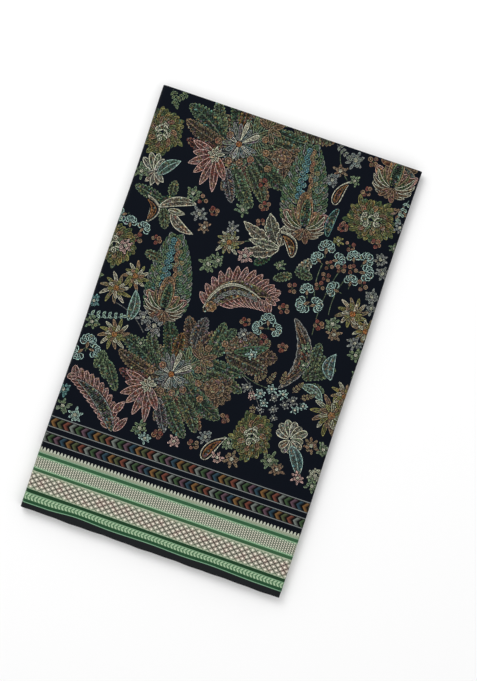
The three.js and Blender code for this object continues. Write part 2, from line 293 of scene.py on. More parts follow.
class Print:
    """The list of motifs. Positions are mm across and down, angles are degrees clockwise from right.

    Where a motif takes several inks, they are one string of names, used in turn.
    """

    def __init__(self):
        self.rows = []

    def add(self, form, style, body, line):
        """Keeps one motif, from its columns x to depth, with a random number as its seed."""
        inks = INK_NAMES.index(body), INK_NAMES.index(line)
        self.rows.append((*form, *inks, STYLE_NAMES.index(style), chance.random()))

    def leaf(self, x, y, angle, length, width, style, body, line, bend=0, hook=0, p=0.7, q=0.9, n=0, depth=0):
        self.add((x, y, angle, length, width / 2, bend, hook, p, q, LEAF, n, depth), style, body, line)

    def bloom(self, x, y, radius, petals, depth, style, body, line, centre=0.25, sharp=0.6, turn=0):
        self.add((x, y, turn, radius, radius, 0, 0, centre, sharp, BLOOM, petals, depth), style, body, line)

    def fan(self, x, y, angles, lengths, width, style, inks, line, start=0, **shape):
        """Leaves that spread from one point, with their angles, lengths and inks taken in turn."""
        inks = inks.split()
        for i, angle in enumerate(angles):
            px, py = stepped(x, y, angle, start)
            self.leaf(px, py, angle, lengths[i % len(lengths)], width, style, inks[i % len(inks)], line, **shape)

    def comb(self, x, y, angle, length, bow, count, reach, width, inks, line, side=1, lean=55, first=0):
        """Leaflets in a row beside a bowed stem."""
        inks = inks.split()
        for i in range(count):
            s = first + (1 - first) * (i + 0.5) / count
            px, py = stepped(*stepped(x, y, angle, length * s), angle + 90, bow * 4 * s * (1 - s))
            slope = math.degrees(math.atan(bow * 4 * (1 - 2 * s) / length))
            size = reach * (0.66 + 0.34 * math.sin(math.pi * min(1, s * 1.1)))
            self.leaf(
                px, py, angle + slope + side * (lean + 12 * (0.5 - s)), size, width, "petal",
                inks[i % len(inks)], line, bend=side * -0.06 * size, p=0.6, q=0.7,
            )

    def stem(self, x, y, angle, length, ink="sage", bend=0, width=0.8):
        self.leaf(x, y, angle, length, width, "stem", ink, ink, bend=bend, p=0.02, q=0.02)

    def berries(self, x, y, count=4, inks="rust brick brown", spread=4.6, radius=2.6):
        inks = inks.split()
        for i in range(count):
            turn = 360 * i / count + 50 * chance.random()
            far = spread * (0.75 + 0.4 * chance.random())
            self.stem(x, y, turn, far, "moss")
            self.bloom(
                *stepped(x, y, turn, far), radius * (0.8 + 0.4 * chance.random()), 3 if i % 2 else 0, 0.25,
                "plain", inks[i % len(inks)], "rose" if i % 2 else "tan", centre=0.3,
            )

    def sprig(self, x, y, angle, length, ink="moss", line="sage", pairs=4, size=5.5):
        """A thin twig with small paired leaves and a bud."""
        self.stem(x, y, angle, length, line, bend=length * 0.08)
        for i in range(pairs):
            s = (i + 0.6) / pairs
            px, py = stepped(x, y, angle, length * s)
            for side in (-1, 1):
                self.leaf(px, py, angle + side * 52, size * (1.1 - 0.4 * s), size * 0.55, "plain", ink, line)
        self.leaf(*stepped(x, y, angle, length), angle, size, size * 0.6, "plain", ink, line)

    def posy(self, x, y, size, inks, line):
        """A small ragged cluster of florets and leaves."""
        inks = inks.split()
        for i in range(6):
            turn = 60 * i + 50 * chance.random()
            self.leaf(
                *stepped(x, y, turn, size * 0.45), turn, size * (0.55 + 0.4 * chance.random()), size * 0.34,
                "petal", inks[(i + 1) % len(inks)], line, p=0.7, q=0.6,
            )
        for i in range(8):
            turn = 360 * i / 8 + 40 * chance.random()
            spot = stepped(x, y, turn, size * (0.3 + 0.5 * chance.random()))
            radius = size * (0.2 + 0.1 * chance.random())
            self.bloom(*spot, radius, 5, 0.4, "petal", inks[i % len(inks)], line, centre=0.3)
        self.bloom(x, y, size * 0.26, 5, 0.4, "petal", inks[0], "cream", centre=0.4)

    def feather(self, x, y, angle, length, width, body, line, bow=0, n=None):
        lobes = round(length / 4.2) if n is None else n
        self.leaf(x, y, angle, length, width, "feather", body, line, bend=bow, p=0.4, q=0.5, n=lobes, depth=0.38)

    def paisley(self, x, y, angle, length, width, hook):
        """A broad boteh from its base to its rounded tip: ragged leafy sides round a dotted drop."""
        inks = ("moss", "green", "olive", "teal", "moss")

        def on_body(s, share):
            """A point at s along the boteh, and share of the half width to its right."""
            half = width / 2 * (s**0.4 * (1 - s) ** 0.75) / 0.464
            return stepped(*stepped(x, y, angle, length * s), angle + 90, hook * s**3 + share * half)

        for rank, count, reach, wide in ((0.74, 16, 14, 7.5), (0.5, 14, 13, 7), (0.28, 11, 12, 7)):
            for side in (-1, 1):
                for i in range(count):
                    s = 0.03 + 0.9 * i / (count - 1)
                    self.leaf(
                        *on_body(s, side * rank), angle + side * (74 - 66 * s), reach * (1.1 - 0.35 * s), wide,
                        "leaf", inks[(i + side) % 5], "leaf" if i % 3 else "grey", p=0.6, q=0.6,
                    )
        for i in range(30):
            s = 0.2 + 0.74 * i / 29
            px, py = on_body(s, 0.62 * math.sin(i * 2.4))
            ink = ("moss", "blue", "olive", "teal", "ochre")[i % 5]
            self.bloom(px, py, 3.4, 5, 0.3, "plain", ink, "sage", centre=0.35)
        for i in range(14):
            px, py = on_body(0.34 + 0.6 * i / 13, -0.16 - 0.2 * (i % 2))
            self.bloom(px, py, 3.6, 6, 0.3, "bloom", "blue" if i % 3 else "teal", "aqua", centre=0.35)
        for i in range(9):
            px, py = on_body(0.36 + 0.065 * i, 0.16 + 0.12 * (i % 2))
            self.leaf(px, py, angle + 24 * (-1) ** i, 9, 4.6, "petal", ("rust", "moss", "ochre")[i % 3], "tan")

    def lotus(self, x, y, angle, size):
        """The open flower at a boteh's base: rust petals, a green heart and cream-edged petals below."""
        ways = [angle + a for a in (-76, 76, -54, 54, -34, 34)]
        lengths = [size * 0.9, size * 0.9, size * 1.12, size * 1.12]
        self.fan(x, y, ways, lengths, size * 0.38, "petal", "rust rose ochre", "pink", p=0.9, q=0.6)
        self.leaf(x, y, angle - 4, size * 1.5, size * 0.66, "ringed", "ochre", "tan", p=0.5, q=0.5)
        self.leaf(x, y, angle, size * 1.2, size * 0.4, "dotted", "green", "sage", p=0.5, q=0.55)
        for side in (-1, 1):
            for far, share in ((34, 0.95), (52, 1.0), (72, 0.95), (92, 0.85), (112, 0.7)):
                inks = "moss" if far < 60 else "brown", "cream" if far > 40 else "tan"
                self.leaf(
                    x, y, angle + side * far, size * share, size * 0.15, "plain", *inks,
                    bend=side * size * 0.16, p=0.7, q=0.5,
                )
        ways = [angle + 180 + a for a in (-46, -16, 16, 46)]
        self.fan(x, y, ways, [size * 0.5, size * 0.62], size * 0.24, "petal", "brown rose", "tan", p=0.8, q=0.5)

    def small_paisley(self, x, y, angle, length, width, hook, body="brown", bend=0):
        self.leaf(x, y, angle, length, width, "plain", "cream", "cream", hook=hook, bend=bend, p=0.5, q=0.9)
        self.leaf(
            *stepped(x, y, angle, length * 0.04), angle, length * 0.84, width * 0.7, "plain", "navy", "navy",
            hook=hook * 0.8, bend=bend * 0.9, p=0.5, q=0.9,
        )
        self.leaf(
            *stepped(x, y, angle, length * 0.08), angle, length * 0.74, width * 0.52, "dotted", body, "ochre",
            hook=hook * 0.7, bend=bend * 0.85, p=0.5, q=0.9,
        )

    def shell(self, x, y, angle, size):
        """One scalloped floret of the hydrangea, on a short stalk."""
        self.stem(*stepped(x, y, angle, -size * 1.1), angle, size, "sage")
        for far in (-88, 88, -50, 50, -16, 16):
            self.bloom(
                *stepped(x, y, angle + far, size * 0.58), size * 0.42, 7, 0.16, "shell",
                "deep", "mint", centre=0.1,
            )
        for far in (-70, -35, 0, 35, 70):
            self.leaf(x, y, angle + far, size * 0.66, size * 0.3, "shell", "deep", "mint", p=1.3, q=0.4)
        self.leaf(x, y, angle + 180, size * 0.7, size * 0.3, "petal", "brown", "tan")

    def star(self, x, y, size, inks, turn, petals, heart):
        """A spidery flower with narrow pointed petals."""
        inks = inks.split()
        for reach, count in ((1.0, petals), (0.62, petals - 2)):
            for i in range(count):
                far = size * reach * (0.82 + 0.36 * chance.random())
                self.leaf(
                    x, y, turn + 360 * (i + 0.5 * (reach < 1)) / count, far, size * 0.22, "petal",
                    inks[i % len(inks)], ("yellow", "cream", "tan")[i % 3], bend=size * 0.07, p=0.9, q=0.6,
                )
        self.bloom(x, y, size * 0.18, 6, 0.3, "plain", heart, "ochre", centre=0.5)

    def wreath(self, x, y, long, wide, turn):
        """A soft oval of ragged yellow-green leaflets round rust petals and a curling spray."""
        inks = ("olive", "moss", "yellow")

        def around(way, share):
            return x + long * share * math.cos(math.radians(way)), y + wide * share * math.sin(math.radians(way))

        for ring, count, reach, size in ((0.38, 26, 11, 6.2), (0.3, 22, 10, 5.6)):
            for i in range(count):
                way = 360 * (i + 0.5 * (ring > 0.35)) / count + turn
                far = reach * (0.65 + 0.6 * chance.random()) * (1.2 if i % 5 < 2 else 0.85)
                ink = inks[i % len(inks)] if ring > 0.35 else ("ochre", "moss", "rust")[i % 3]
                self.leaf(
                    *around(way, ring - 0.03), way + 26, far, size, "petal", ink,
                    "yellow" if i % 2 else "moss", p=0.6, q=0.6,
                )
        for i in range(14):
            way = 360 * i / 14 + turn
            ink = ("rust", "moss", "ochre", "olive")[i % 4]
            self.leaf(*around(way, 0.2), way + 34, 10, 6, "leaf", ink, "olive" if i % 2 else "tan", p=0.6, q=0.6)
        for i in range(9):
            way = 40 * i + turn + 12
            self.leaf(*around(way, 0.04), way, long * 0.2, 5.5, "petal", ("moss", "rust", "olive")[i % 3], "sage")
        for i in range(4):
            ink = ("moss", "sage", "rust")[i % 3]
            self.bloom(*around(turn + 90 * i + 20, 0.17), 3.2, 6, 0.3, "bloom", ink, "cream", centre=0.3)
        self.stem(*stepped(x, y, turn, -long * 0.3), turn, long * 0.56, "sage", bend=5)
        for side in (-1, 1):
            for i in range(3):
                px, py = stepped(x, y, turn, long * (0.14 * i - 0.2))
                self.leaf(px, py, turn + side * 50, 8, 1.8, "plain", "sage", "cream", bend=side * 2)


def stepped(x, y, angle, distance):
    turn = math.radians(angle)
    return x + distance * math.cos(turn), y + distance * math.sin(turn)


def bouquet(p, x, y):
    """The big spray round a pale daisy, whose heart is at x, y."""
    for i in range(34):
        angle = -186 + 10.4 * i
        reach = 46 + 10 * math.sin(i * 2.3) - (18 if angle > 112 else 0)
        p.feather(
            *stepped(x + 14, y + 2, angle, 6), angle, reach, 15, ("olive", "moss", "brown", "green", "sage")[i % 5],
            ("grey", "tan", "sage")[i % 3], bow=3 * (-1) ** i,
        )
    # Upper row
    p.feather(x + 14, y - 36, -112, 44, 20, "brown", "tan", bow=2)
    p.feather(x + 18, y - 40, -88, 42, 20, "brown", "grey", bow=-2)
    p.feather(x + 22, y - 38, -60, 38, 16, "brown", "tan", bow=-2)
    p.feather(x + 36, y - 40, -80, 44, 18, "green", "sage", bow=2)
    p.feather(x + 46, y - 40, -72, 42, 19, "leaf", "sage", bow=-2)
    p.feather(x - 6, y - 14, -112, 56, 21, "moss", "leaf", bow=3)
    p.feather(x - 22, y - 8, -118, 42, 17, "olive", "sage", bow=-2)
    p.feather(x - 14, y + 8, -149, 70, 26, "green", "sage", bow=5)
    p.feather(x - 14, y + 6, -166, 60, 20, "olive", "tan", bow=-4)
    p.feather(x - 20, y + 16, -178, 44, 16, "brown", "rose", bow=-3)
    p.feather(x - 2, y - 20, -92, 34, 15, "moss", "ochre")
    # Right side
    palmate = ((-54, 44, 24, "tan"), (-34, 58, 28, "sage"), (-14, 64, 30, "tan"), (6, 56, 26, "sage"))
    for angle, reach, wide, ink in palmate:
        p.feather(x + 58, y - 46, angle, reach, wide, ink, "tan")
    p.leaf(x + 66, y - 52, -26, 44, 12, "leaf", "green", "leaf", bend=2)
    p.posy(x + 88, y - 56, 6, "mint aqua sage", "mint")
    p.feather(x + 36, y - 30, 2, 52, 18, "green", "sage", bow=2)
    p.feather(x + 40, y - 14, 8, 52, 19, "olive", "sage", bow=-2)
    p.fan(
        x + 56, y, (-40, -12, 14, 40, 66), (26, 24), 13, "feather", "brown olive", "tan",
        p=0.4, q=0.5, n=6, depth=0.38,
    )
    p.bloom(x + 57, y, 13, 9, 0.2, "bloom", "brown", "tan", centre=0.2)
    p.bloom(x + 57, y, 6, 7, 0.2, "bloom", "rose", "tan", centre=0.3)
    # Below
    p.feather(x + 24, y + 8, 28, 58, 24, "green", "sage", bow=3)
    p.feather(x + 14, y + 26, 34, 52, 18, "rose", "tan", bow=-2)
    p.feather(x + 20, y + 22, 50, 50, 18, "olive", "sage", bow=-2)
    p.feather(x + 2, y + 28, 48, 58, 22, "leaf", "sage", bow=3)
    p.feather(x - 6, y + 34, 62, 44, 15, "plum", "grey")
    # Rust leaves
    p.fan(
        x - 22, y + 23, (-164, 172, 148, 126, 102, 79, 54), (35, 30, 37, 36, 42, 46, 32), 10.6, "petal",
        "rust rose brick", "pink", p=0.7, q=0.75,
    )
    p.fan(x - 23, y + 22, (60, 100, 140, 180, 220, 260, 300, 340), (9, 11), 4.5, "petal", "ochre sage", "cream")
    # Heart
    p.fan(
        x + 16, y - 14, (-130, -100, -70, -40, -10, 20, 50, 80, 110), (24, 28, 22), 7, "leaf",
        "brown olive teal", "sage", p=0.8, q=0.6,
    )
    p.fan(
        x + 30, y - 30, (-150, -110, -70, -30, 10, 60), (17, 20), 6.5, "petal", "brown olive moss", "tan",
        p=0.8, q=0.6,
    )
    p.fan(
        x, y, (-138, -120, -102, -66, -48, -30, 8, 28), (22, 26, 24), 4.8, "petal", "teal moss plum",
        "grey", start=2, p=1.0, q=0.5,
    )
    p.fan(x, y, (-84, -40), (27, 25), 5.4, "petal", "cream", "cream", start=3, p=1.2, q=0.4)
    p.fan(
        x, y, (52, 80, 108, 138, 168, -164), (16, 19, 17), 5.0, "petal", "teal moss plum", "grey",
        start=2, p=1.0, q=0.5,
    )
    p.fan(x, y, (94, 22, -158), (18, 15, 14), 4.6, "petal", "blue", "cream", start=2, p=1.0, q=0.5)
    p.bloom(x, y, 3.4, 8, 0.2, "plain", "orange", "ochre", centre=0.45)
    for dx, dy in (
        (-14, -8), (20, 14), (36, 0), (8, 22), (34, -46), (30, -16), (-6, 24), (52, -58), (-26, 4), (44, 18),
    ):
        p.bloom(x + dx, y + dy, 4.4, 6, 0.3, "bloom", "ochre" if dx > 20 else "rust", "tan", centre=0.35)


GAP_TRIES = 900
GAP_CLEAR = 6.0  # mm kept between a filler and the motifs round it
FIELD_DOWN = 424  # the fillers stay above the chevrons


def fill_gaps(p):
    """Small sprigs, posies and berries on the bare ground between the motifs, kept off the chevrons."""
    kind_column = MOTIF_COLUMNS.index("kind")
    spots = []
    for row in p.rows:
        x, y, angle, length = row[:4]
        if row[kind_column] == BLOOM:
            spots.append((x, y, 4.0 + length))
        else:
            spots += [(*stepped(x, y, angle, length * share), 7.0) for share in (0.1, 0.5, 0.9)]
    for i in range(GAP_TRIES):
        x, y = REPEAT * chance.random() - 8, FIELD_DOWN * chance.random() + 4
        if all((x - a) ** 2 + (y - b) ** 2 > (r + GAP_CLEAR) ** 2 for a, b, r in spots):
            turn = 360 * chance.random()
            if i % 3 == 0:
                p.berries(x, y, 4, "brown moss rust", 4, 2.2)
            elif i % 3 == 1:
                p.sprig(*stepped(x, y, turn, -6), turn, 12, "moss", "sage", pairs=3, size=5)
            else:
                p.posy(x, y, 6, "moss teal brown", "sage")
            spots.append((x, y, 8.0))


def field_print():
    """The whole printed field. Positions were judged on a straightened view of the photo."""
    p = Print()

    # Stems and sprigs that lie under the rest
    p.stem(28, 279, 28, 54, "grey", bend=-5)
    p.stem(208, 314, 46, 60, "grey", bend=-5)
    p.stem(212, 314, 8, 44, "sage", bend=3)
    p.stem(238, 6, 60, 40, "sage", bend=4)
    for x, y, angle, length in ((178, 150, 150, 40), (262, 150, 80, 60), (300, 150, 100, 60), (286, 150, 95, 90)):
        p.stem(x, y, angle, length, "sage", bend=5)

    bouquet(p, 114, 41)
    bouquet(p, 126, 343)

    # Botehs
    p.paisley(221, 118, -100, 106, 48, 0)
    p.lotus(225, 116, -100, 31)
    p.paisley(93, 278, -98, 104, 48, -2)
    p.lotus(90, 270, -92, 29)
    p.posy(86, 292, 11, "plum grey brown", "grey")
    p.posy(70, 286, 8, "moss grey", "grey")

    # Beside the upper boteh
    p.small_paisley(252, 75, -90, 36, 12.5, 12)
    p.leaf(259, 78, 94, 38, 10.5, "dotted", "sage", "aqua", bend=3, p=0.5, q=0.5)
    p.posy(260, 13, 10, "moss sage aqua", "grey")
    p.posy(246, 32, 8, "rose grey plum", "tan")
    p.posy(240, 46, 8, "teal grey aqua", "grey")
    p.posy(267, 38, 6, "sage moss", "sage")
    p.sprig(232, 2, 30, 22, "sage", "grey", pairs=4)
    p.berries(282, 8, 4, "brown moss")
    p.lotus(314, 30, -90, 30)
    p.fan(
        316, 2, (-30, 0, 30, 60, 120, 150, 180), (26, 22), 11, "petal", "rust brown teal", "tan", p=0.7, q=0.6,
    )
    p.lotus(314, 32, -90, 30)
    p.wreath(302, 78, 62, 50, 6)
    p.berries(286, 46, 5)
    p.berries(272, 98, 6, "rose brick rust")
    p.berries(318, 105, 5)
    p.posy(334, 58, 8, "rose brown", "tan")
    p.sprig(340, 40, 100, 30, "sage", "mint", pairs=4)
    p.posy(340, 76, 7, "grey teal", "grey")
    p.posy(272, 116, 6, "moss sage", "yellow")

    # Left edge, upper
    p.wreath(18, 57, 44, 56, 80)
    p.fan(
        24, 108, (-172, -146, -118, -94, -70), (20, 23, 25, 24), 9, "lined", "sage grey moss", "cream", p=0.8, q=0.6,
    )
    p.fan(26, 108, (150, 122, 94, 62, 36), (16, 18, 18, 16), 7.5, "petal", "grey rose", "cream")
    p.leaf(29, 110, -48, 34, 14, "leaf", "green", "mint", bend=-3)
    p.posy(8, 112, 9, "moss grey teal", "sage")
    p.sprig(14, 2, 60, 20)
    p.sprig(34, 0, 130, 20)

    # Second row
    p.feather(54, 130, -92, 20, 13, "olive", "sage")
    p.feather(44, 138, -170, 38, 15, "green", "sage")
    p.feather(42, 140, -20, 26, 12, "moss", "green")
    p.feather(50, 148, 68, 26, 14, "olive", "sage")
    p.small_paisley(36, 170, -112, 34, 13, 2, bend=10)
    p.leaf(43, 148, -22, 48, 12, "lined", "brown", "cream", bend=-5, p=0.7, q=0.7)
    p.leaf(60, 149, 27, 40, 12, "lined", "rust", "cream", bend=5, p=0.6, q=0.9)
    p.leaf(56, 148, -4, 22, 8, "leaf", "olive", "cream")
    p.posy(95, 140, 9, "moss teal grey", "grey")
    p.posy(79, 118, 9, "sage moss aqua", "sage")
    p.posy(106, 154, 7, "rose plum grey", "tan")
    p.berries(112, 131, 5)
    p.berries(158, 78, 4)
    p.berries(170, 104, 5)
    p.posy(145, 118, 8, "teal sage moss", "sage")
    p.berries(94, 122, 3, "rose brick")

    # Palmate leaf and the small boteh beside it
    p.feather(196, 156, 160, 34, 15, "green", "sage")
    p.feather(196, 160, 130, 24, 13, "moss", "green")
    p.leaf(204, 148, -162, 56, 18, "lined", "tan", "cream", bend=-3, n=6, depth=0.22)
    p.leaf(204, 147, -124, 44, 21, "lined", "olive", "cream", bend=-3, n=5, depth=0.22)
    p.leaf(204, 146, -96, 26, 15, "lined", "brown", "cream", n=4, depth=0.22)
    p.leaf(204, 150, 160, 46, 16, "lined", "tan", "cream", bend=-3, n=5, depth=0.22)
    p.leaf(204, 149, 178, 40, 13, "lined", "sage", "cream", n=4, depth=0.22)
    p.small_paisley(224, 154, -142, 36, 15, 6, "tan", bend=7)
    p.star(142, 162, 17, "teal moss green", 10, 12, "ochre")
    p.posy(166, 172, 9, "grey rose aqua", "pink")
    p.posy(140, 144, 7, "teal grey", "grey")
    p.posy(126, 196, 10, "moss sage", "sage")
    p.posy(136, 188, 8, "moss grey", "sage")
    p.feather(236, 172, -62, 26, 15, "sage", "cream")
    p.feather(230, 176, 150, 24, 12, "olive", "sage")
    p.feather(232, 168, 10, 24, 14, "moss", "sage")

    # Hydrangea spray
    for x, y, angle, size in (
        (261, 130, -96, 11), (279, 140, -20, 10), (254, 146, -150, 9), (297, 130, -110, 9),
        (313, 128, -70, 10), (317, 144, -10, 11), (303, 160, -90, 9), (286, 176, -170, 10),
        (254, 188, -110, 9), (256, 206, 140, 11), (270, 202, -30, 10),
    ):
        p.shell(x, y, angle, size)
    for x, y in ((270, 150), (286, 148), (272, 165), (318, 160), (236, 192), (268, 178), (288, 118), (300, 144)):
        p.berries(x, y, 4, "brown moss rose", 5, 2.2)
    for x, y in ((330, 122), (338, 138), (334, 170), (338, 184)):
        p.posy(x, y, 8, "moss grey sage", "grey")

    # Right edge, middle
    p.star(318, 198, 20, "olive ochre moss", 5, 12, "orange")
    p.star(340, 214, 18, "ochre olive moss", 20, 11, "orange")
    p.berries(282, 224, 5)
    p.posy(298, 218, 9, "moss grey", "sage")
    p.posy(304, 230, 8, "brown moss", "tan")
    p.posy(332, 232, 8, "moss teal", "grey")
    p.posy(338, 246, 8, "sage moss", "sage")

    # Left edge, middle
    p.shell(16, 178, -100, 9)
    p.shell(34, 180, -60, 9)
    p.shell(3, 172, 150, 9)
    p.berries(54, 188, 5)
    p.berries(32, 194, 4, "brown rose")
    p.feather(46, 207, 8, 26, 13, "olive", "sage")
    p.wreath(6, 210, 50, 46, 60)
    p.posy(20, 208, 8, "rose grey", "pink")
    p.star(44, 240, 18, "moss olive ochre", 0, 11, "ochre")
    p.star(26, 262, 19, "olive brown moss", 14, 11, "ochre")
    p.leaf(53, 296, -94, 40, 14, "leaf", "green", "mint", bend=3)
    p.sprig(2, 304, -14, 44, "sage", "mint", pairs=6, size=6)
    p.star(42, 318, 19, "moss olive brown", 8, 12, "ochre")
    p.posy(10, 312, 8, "moss teal", "sage")
    p.posy(4, 286, 7, "teal grey", "aqua")

    # Feathered leaf in the middle
    p.comb(138, 250, -27, 86, -23, 12, 25, 9.6, "rose rust", "pink", side=-1, lean=58)
    p.comb(142, 256, -27, 80, -17, 11, 24, 9.6, "rose brick rust", "pink", side=1, lean=50, first=0.18)
    p.fan(208, 214, (-62, -36, -10, 16), (18, 20, 18, 16), 8, "petal", "rose rust", "pink")
    p.leaf(138, 254, -29, 88, 23, "dotted", "olive", "tan", bend=-19, p=0.5, q=0.75)
    p.comb(144, 248, -29, 60, -15, 9, 12, 4.6, "olive plum moss", "grey", side=1, lean=26, first=0.05)
    p.leaf(137, 251, -27, 74, 3.6, "plain", "cream", "cream", bend=-24, p=0.3, q=0.5)
    p.bloom(146, 246, 7, 7, 0.2, "bloom", "ochre", "tan")
    p.berries(194, 250, 5)
    p.berries(234, 220, 5, "rust brown rose")
    for x, y, angle, size in ((220, 240, -110, 10), (232, 248, -10, 9), (212, 252, 170, 9)):
        p.shell(x, y, angle, size)
    p.berries(222, 264, 4, "brick plum")
    p.berries(248, 266, 5, "brown rust rose")
    p.posy(196, 266, 7, "grey moss", "grey")

    # Sickle leaf and its neighbours
    p.leaf(252, 226, 85, 91, 20, "lined", "tan", "grey", bend=-21, p=0.5, q=0.6, n=9, depth=0.12)
    p.leaf(256, 236, 86, 72, 8, "dotted", "rust", "tan", bend=-19, p=0.5, q=0.5)
    p.feather(286, 296, -66, 40, 18, "olive", "sage", bow=3)
    p.feather(292, 290, -34, 34, 17, "moss", "sage")
    p.feather(292, 276, -92, 30, 15, "olive", "sage")
    p.feather(296, 300, 10, 20, 11, "moss", "sage")
    p.leaf(318, 286, -96, 34, 15, "leaf", "teal", "mint", bend=-6)
    p.leaf(286, 304, 20, 34, 12, "leaf", "sage", "mint", bend=-5)
    p.star(334, 328, 25, "olive moss brown", 12, 13, "tan")
    p.star(342, 300, 18, "ochre olive", 2, 11, "brown")
    for x, y, size in (
        (222, 328, 6), (231, 336, 5), (240, 330, 6), (248, 340, 5), (252, 320, 6), (258, 330, 5), (262, 344, 5),
        (268, 322, 6), (274, 334, 5), (282, 326, 6), (288, 336, 5), (296, 328, 5), (246, 350, 5), (266, 354, 4),
    ):
        line = ("mint", "tan", "grey", "pink")[x % 4]
        p.posy(x, y, size, "brown grey moss" if x % 4 else "rose sage grey", line)
    for x, y, angle in (
        (226, 318, -40), (244, 316, -70), (262, 312, -90), (278, 316, -60), (290, 320, -30), (236, 346, 80),
    ):
        p.sprig(x, y, angle, 14, "moss", "tan", pairs=3, size=5)

    # Bottom row
    p.shell(14, 338, -90, 11)
    p.shell(24, 346, 0, 9)
    p.shell(6, 354, 130, 10)
    p.feather(34, 342, 66, 36, 14, "moss", "sage")
    p.feather(44, 352, 56, 40, 15, "green", "sage")
    p.feather(36, 344, 100, 22, 12, "moss", "sage")
    p.comb(77, 434, -142, 84, 8, 11, 22, 9.8, "rose rust", "pink", side=1, lean=50)
    p.comb(77, 434, -142, 84, 8, 11, 19, 9, "rust rose brick", "pink", side=-1, lean=44)
    p.leaf(78, 435, -142, 78, 14, "dotted", "moss", "grey", bend=8, p=0.5, q=0.7)
    p.leaf(72, 412, -62, 20, 9, "petal", "rust", "pink")
    p.leaf(80, 434, -62, 24, 9, "petal", "rust", "pink")
    p.posy(10, 424, 9, "sage grey", "sage")
    p.posy(28, 430, 8, "sage moss", "mint")
    p.posy(4, 404, 8, "teal sage", "aqua")
    p.posy(110, 420, 9, "moss sage teal", "sage")
    p.posy(120, 430, 7, "sage grey", "mint")
    p.berries(134, 420, 6, "brown tan rust")
    p.posy(156, 422, 7, "rose plum", "pink")
    p.berries(180, 418, 5, "brown tan rust")
    p.posy(192, 404, 8, "aqua teal grey", "grey")
    p.posy(222, 402, 8, "sage grey", "sage")
    p.berries(208, 374, 4, "rust brown")
    p.small_paisley(197, 432, -76, 40, 15, 12, "rust")
    p.posy(214, 424, 7, "rose green", "pink")
    p.posy(232, 420, 9, "brown moss", "tan")
    p.wreath(247, 384, 44, 58, 80)
    p.fan(
        294, 372, (-168, -142, -116, -90, -64, -38), (20, 23, 24, 22), 10, "lined", "grey brown sage", "cream",
        p=0.9, q=0.5,
    )
    p.fan(
        294, 374, (-10, 18, 46, 74, 102, 130), (17, 18, 16), 9, "lined", "sage teal rose", "cream", p=0.9, q=0.5,
    )
    p.leaf(298, 380, 60, 40, 15, "leaf", "teal", "mint", bend=-3)
    p.posy(278, 406, 10, "moss brown sage", "sage")
    p.posy(290, 414, 8, "brown rose", "tan")
    p.posy(318, 416, 7, "rose brick", "pink")
    p.posy(322, 372, 9, "moss rose", "tan")
    p.posy(338, 406, 9, "sage moss", "cream")
    p.posy(338, 420, 8, "sage grey", "sage")
    p.posy(338, 372, 8, "moss grey", "sage")
    fill_gaps(p)
    return p.rows


def motif_table():
    rows = np.array(field_print(), float)
    again = rows.copy()
    again[:, 0] -= REPEAT
    return {name: column for name, column in zip(MOTIF_COLUMNS, np.concatenate([again, rows]).T)}


def along_and_beside(x, y, m):
    """Where points lie along a motif's spine and beside it, in millimetres."""
    turn = np.radians(m["angle"])
    dx, dy = x - m["x"], y - m["y"]
    along = dx * np.cos(turn) + dy * np.sin(turn)
    beside = dy * np.cos(turn) - dx * np.sin(turn)
    s = np.clip(along / m["length"], 0, 1)
    bow = m["bend"] * 4 * s * (1 - s) + m["hook"] * s**3
    return along, beside - bow


def norm_of(p, q):
    top = p / (p + q)
    return top**p * (1 - top) ** q


def covers(x, y, m, margin=HALO + 0.2):
    along, beside = along_and_beside(x, y, m)
    if m["kind"] == BLOOM:
        return along**2 + beside**2 < (m["length"] + margin) ** 2
    s = np.clip(along / m["length"], 0.001, 0.999)
    half = m["width"] * s ** m["p"] * (1 - s) ** m["q"] / norm_of(m["p"], m["q"])
    return (np.abs(beside) < half + margin) & (along > -margin) & (along < m["length"] + margin)


def motif_stack(x, y):
    """For each cell, the topmost motifs that cross it. x and y are its corners, as (cells, 4) arrays."""
    weights = np.array([
        ((1 - a) * (1 - b), a * (1 - b), a * b, (1 - a) * b) for a in (0, 0.33, 0.67, 1) for b in (0, 0.33, 0.67, 1)
    ])
    sample_x, sample_y = x @ weights.T, y @ weights.T
    middle_x, middle_y = x.mean(1), y.mean(1)
    stack = np.full((LAYERS, len(x)), -1)
    for i in range(len(MOTIFS["x"])):
        m = {name: column[i] for name, column in MOTIFS.items()}
        reach = m["length"] + m["width"] + abs(m["bend"]) + abs(m["hook"]) + 2 * CELL
        near = np.flatnonzero((np.abs(middle_x - m["x"]) < reach) & (np.abs(middle_y - m["y"]) < reach))
        if not len(near):
            continue
        hit = near[covers(sample_x[near], sample_y[near], m).any(1)]
        stack[1:, hit] = stack[:-1, hit]
        stack[0, hit] = i
    return stack


def layer_attributes(x, y):
    """Per layer, four vectors at each cell corner: place, size, inks and form of the motif there."""
    layers = []
    for ids in motif_stack(x, y)[::-1]:
        m = {name: column[ids][:, None] for name, column in MOTIFS.items()}
        along, beside = along_and_beside(x, y, m)
        none = (ids < 0)[:, None]
        along = np.where(none, -1000.0, along)
        beside = np.where(none, 1000.0, beside)
        same = np.ones_like(along)
        leaf = m["kind"] == LEAF
        width = np.where(leaf, m["width"] / norm_of(m["p"], m["q"]), m["width"])
        layers.append({
            "place": np.stack([along, beside, same * (m["style"] + 0.1 + 0.8 * m["seed"])], -1),
            "size": np.stack([same * m["length"], same * width, same * m["kind"]], -1),
            "inks": np.stack([same * m["body"], same * m["line"], same * m["n"]], -1),
            "form": np.stack([same * m["p"], same * m["q"], same * m["depth"]], -1),
        })
    return layers


MOTIFS = motif_table()


# Meshes


